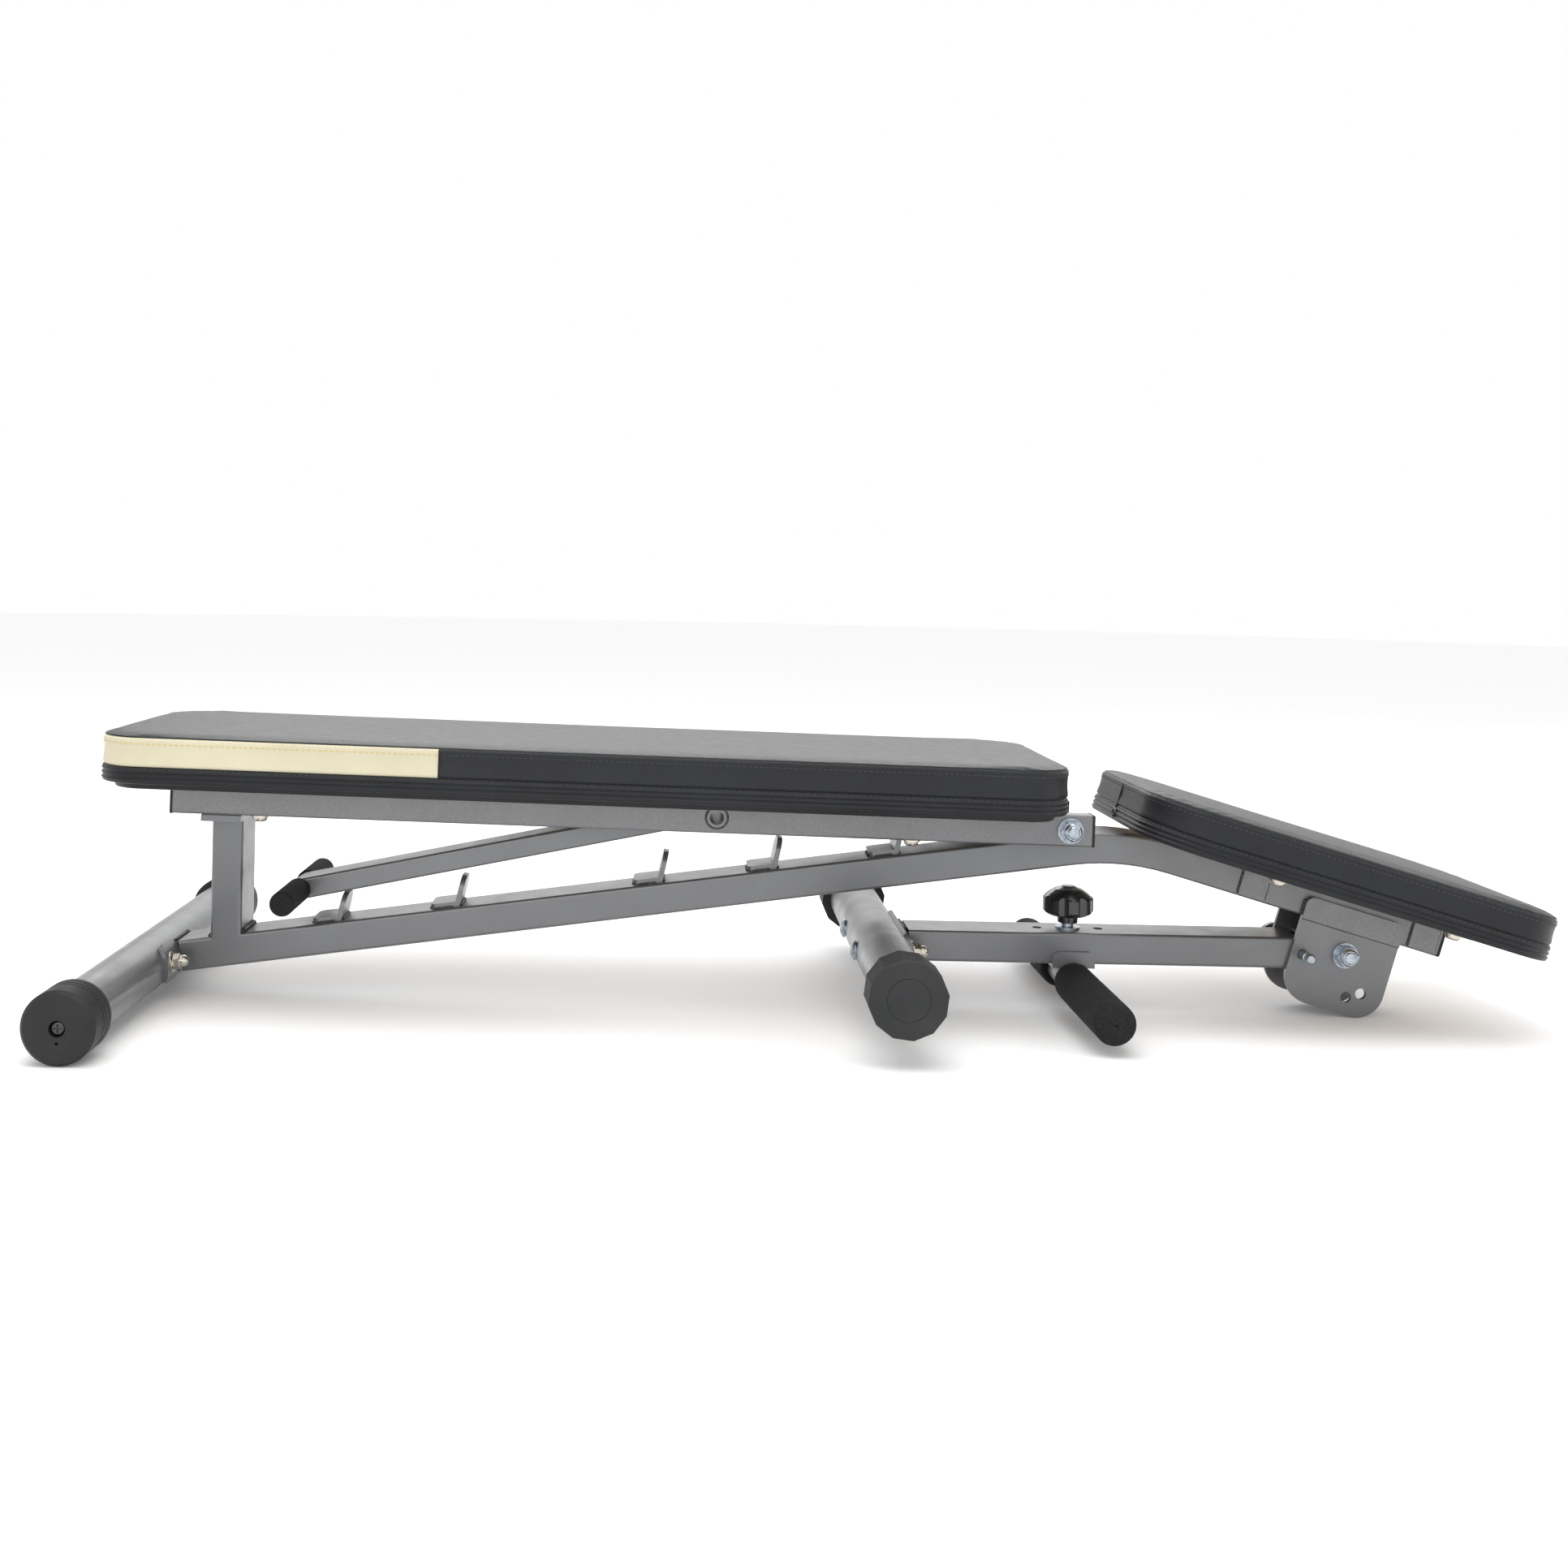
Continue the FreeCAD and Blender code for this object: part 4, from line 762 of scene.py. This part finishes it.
def ladder_u(x):
    """Ladder position of a vertical plane at x, on the beam's top face."""
    slope = math.radians(LADDER_TILT)
    return ((x - LADDER.origin.x) / MM + BEAM_HALF * math.sin(slope)) / math.cos(slope)


def foot_beads(place, u, half):
    """Beads along both ends of a foot's saddle plate and across the tube's end."""
    ends = both(lambda k: [place(u + r + 0.3, k * half, w) for w, r in SADDLE_ARC])
    return ends + [across(place, u + FOOT_RADIUS + 0.2, 22, BEAM_TOP)]


def seat_tube(u, y, w):
    """A point given on the seat tube's own scale."""
    return SEAT_TOP(u - SEAT_PAD_U, y, w - SEAT_PAD_W)


post_low, post_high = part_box("rear_post")
weld("weld_post_base", [across(LADDER, ladder_u(post_low[0]) - 0.8, 22, 15.6),
                        across(LADDER, ladder_u(post_high[0]) + 1.2, 22, 16.2)], 2.6, "frame")
post_top = post_high[2] - 1.9 * MM
weld("weld_post_top", [level(post_low[0] - 0.6 * MM, 0.022, post_top),
                       level(post_high[0] + 0.6 * MM, 0.022, post_top)], 1.8, "frame")
prong_runs = []
for u in PRONGS:
    prong_runs += both(lambda k: span(LADDER, (u - 24, k * 19.6, BEAM_TOP),
                                      (u - 6, k * 19.6, BEAM_TOP)))
    prong_runs.append(across(LADDER, u - 28.6, 13, BEAM_TOP))
    prong_runs.append(across(LADDER, u + 1.2, 17, 15.6))
weld("weld_prongs", prong_runs, 1.5, "frame")
weld("weld_rear_foot", foot_beads(LADDER, 0, 25.4), 1.9, "frame")
front_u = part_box("front_foot_tube")[0][0] / MM + FOOT_RADIUS - LEG.origin.x / MM
weld("weld_front_foot", foot_beads(LEG, front_u, 25.0), 1.9, "leg")
weld("weld_pivot_sleeve", [across(BACK, u, 24, -8.6) for u in (-7.6, 7.6)], 1.7, "frame")
prop_u = (Vector(JOINTS["prop_swing"]["pos_m"]) - BACK.origin).dot(BACK.u) / MM
weld("weld_prop_tube", [hoop(BACK, prop_u, 0, y, 10.1) for y in (-61.4, 61.4, -40.6, 40.6)],
     1.7, "backrest")
weld("weld_prop_sleeve", [across(PROP, -8.3, 19, w) for w in (-10.4, 10.4)], 1.6, "prop")
weld("weld_cross_bar", [hoop(PROP, CROSS_BAR_U, 0, y, 9.8, -80, 80) for y in (-20.2, 20.2)],
     1.0, "prop")
plate_runs = []
for u in CROSS_PLATES:
    for du in (-13.4, 13.4):
        plate_runs += both(lambda k: span(seat_tube, (u + du, k * 25.5, -12.5),
                                          (u + du, k * 25.5, 12.5)))
for u in LEG_BRACKET_ENDS:
    plate_runs += both(lambda k: span(seat_tube, (u, k * 25.5, -13.5), (u, k * 25.5, 1.5)))
weld("weld_seat_plates", plate_runs, 1.5, "frame")
bar_low, bar_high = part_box("roll_bar")
bar_x = (bar_low[0] + bar_high[0]) / 2
clamp_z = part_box("roll_clamp")[0][2] - 1.2 * MM
weld("weld_roll_clamp", [level(bar_x + dx, 0.025, clamp_z) for dx in (-0.0048, 0.0048)],
     1.7, "leg")

# ---------------------------------------------------------------- foam rollers
FOAM_R = 19.0
FOAM_BORE = 12.6
FOAM_SIDES = 56
FOAM_STEPS = 36
FOAM_ROUGH_FROM = 16             # the skin is uneven outside this radius
# (radius, place along the roller) at its inner end, and counted from its length outside.
FOAM_INNER_END = ((FOAM_BORE, 0.0), (15.0, 0.0), (17.0, 0.5), (18.3, 1.8), (18.9, 4.0))
FOAM_OUTER_END = ((18.9, -4.6), (18.4, -2.4), (17.2, -0.8), (15.2, 0.1), (12.0, 0.8),
                  (8.0, 1.3), (4.0, 1.5), (1.6, 1.4), (0.7, 0.9), (0.7, -0.4),
                  (FOAM_BORE, -0.4))


def foam_roll(name, node):
    """Foam sleeve round the roll bar: uneven skin, soft rounded ends."""
    low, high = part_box(node)
    centre = Vector(((low[0] + high[0]) / 2, 0, (low[2] + high[2]) / 2))
    inner, outer = sorted((low[1], high[1]), key=abs)
    reach = outer - inner
    length = abs(reach) / MM
    profile = list(FOAM_INNER_END)
    profile += [(FOAM_R, 4 + (length - 9) * i / FOAM_STEPS) for i in range(1, FOAM_STEPS)]
    profile += [(r, length + s) for r, s in FOAM_OUTER_END]
    verts = []
    for r, s in profile:
        for j in range(FOAM_SIDES):
            a = turn(j, FOAM_SIDES)
            soft = 0.0
            if r >= FOAM_ROUGH_FROM:
                soft = 0.18 * math.sin(3 * a + s * 0.11) * math.sin(s * 0.07 + 1)
                soft += random.uniform(-0.05, 0.05)
            rr = (r + soft) * MM
            verts.append(centre + Vector((rr * math.cos(a), inner + math.copysign(s * MM, reach),
                                          rr * math.sin(a))))
    faces = tube_faces(0, len(profile), FOAM_SIDES, closed=True)
    roll = new_object(name, verts, faces, (MATERIALS["foam_rubber"],))
    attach(roll, "leg")
    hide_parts(node)


foam_roll("foam_sleeve_far", "foam_roll_far")
foam_roll("foam_sleeve_near", "foam_roll_near")

# ----------------------------------------------------------- lights and floor
LIGHT_TARGET = Vector((0, 0, 0.1))
# Name, place, width, height and power of each soft panel.
LIGHTS = (("key", (-0.3, -0.4, 2.4), 2.6, 1.4, 34),
          ("fill", (-0.8, -3.2, 1.0), 2.2, 1.4, 16),
          ("side", (2.6, -0.8, 1.2), 1.4, 1.4, 14),
          ("back", (0.0, 2.4, 1.7), 3.0, 1.2, 26))
for name, where, width, height, power in LIGHTS:
    data = bpy.data.lights.new(name, "AREA")
    data.shape = "RECTANGLE"
    data.size = width
    data.size_y = height
    data.energy = power
    light = bpy.data.objects.new(name, data)
    light.location = where
    light.rotation_mode = "QUATERNION"
    light.rotation_quaternion = (LIGHT_TARGET - Vector(where)).to_track_quat("-Z", "Y")
    scene.collection.objects.link(light)

world = bpy.data.worlds.new("studio")
world.use_nodes = True
world.node_tree.nodes["Background"].inputs["Color"].default_value = (1.0, 1.0, 1.0, 1)
world.node_tree.nodes["Background"].inputs["Strength"].default_value = 1.0
scene.world = world
scene.view_settings.view_transform = "Standard"

FLOOR_RADIUS = 12
FLOOR_Z = -0.0004
FLOOR_SIDES = 96
floor_shader = Shader("studio_floor", (0.94, 0.94, 0.94), 0.0, 0.8)
floor_shader.colour(floor_shader.blend(floor_shader.noise(3, 3.0), (0.935, 0.935, 0.938),
                                       (0.95, 0.95, 0.95)))
floor_verts = [Vector((FLOOR_RADIUS * math.cos(turn(i, FLOOR_SIDES)),
                       FLOOR_RADIUS * math.sin(turn(i, FLOOR_SIDES)), FLOOR_Z))
               for i in range(FLOOR_SIDES)]
floor = new_object("studio_floor", floor_verts, [tuple(range(FLOOR_SIDES))],
                   (floor_shader.material,))
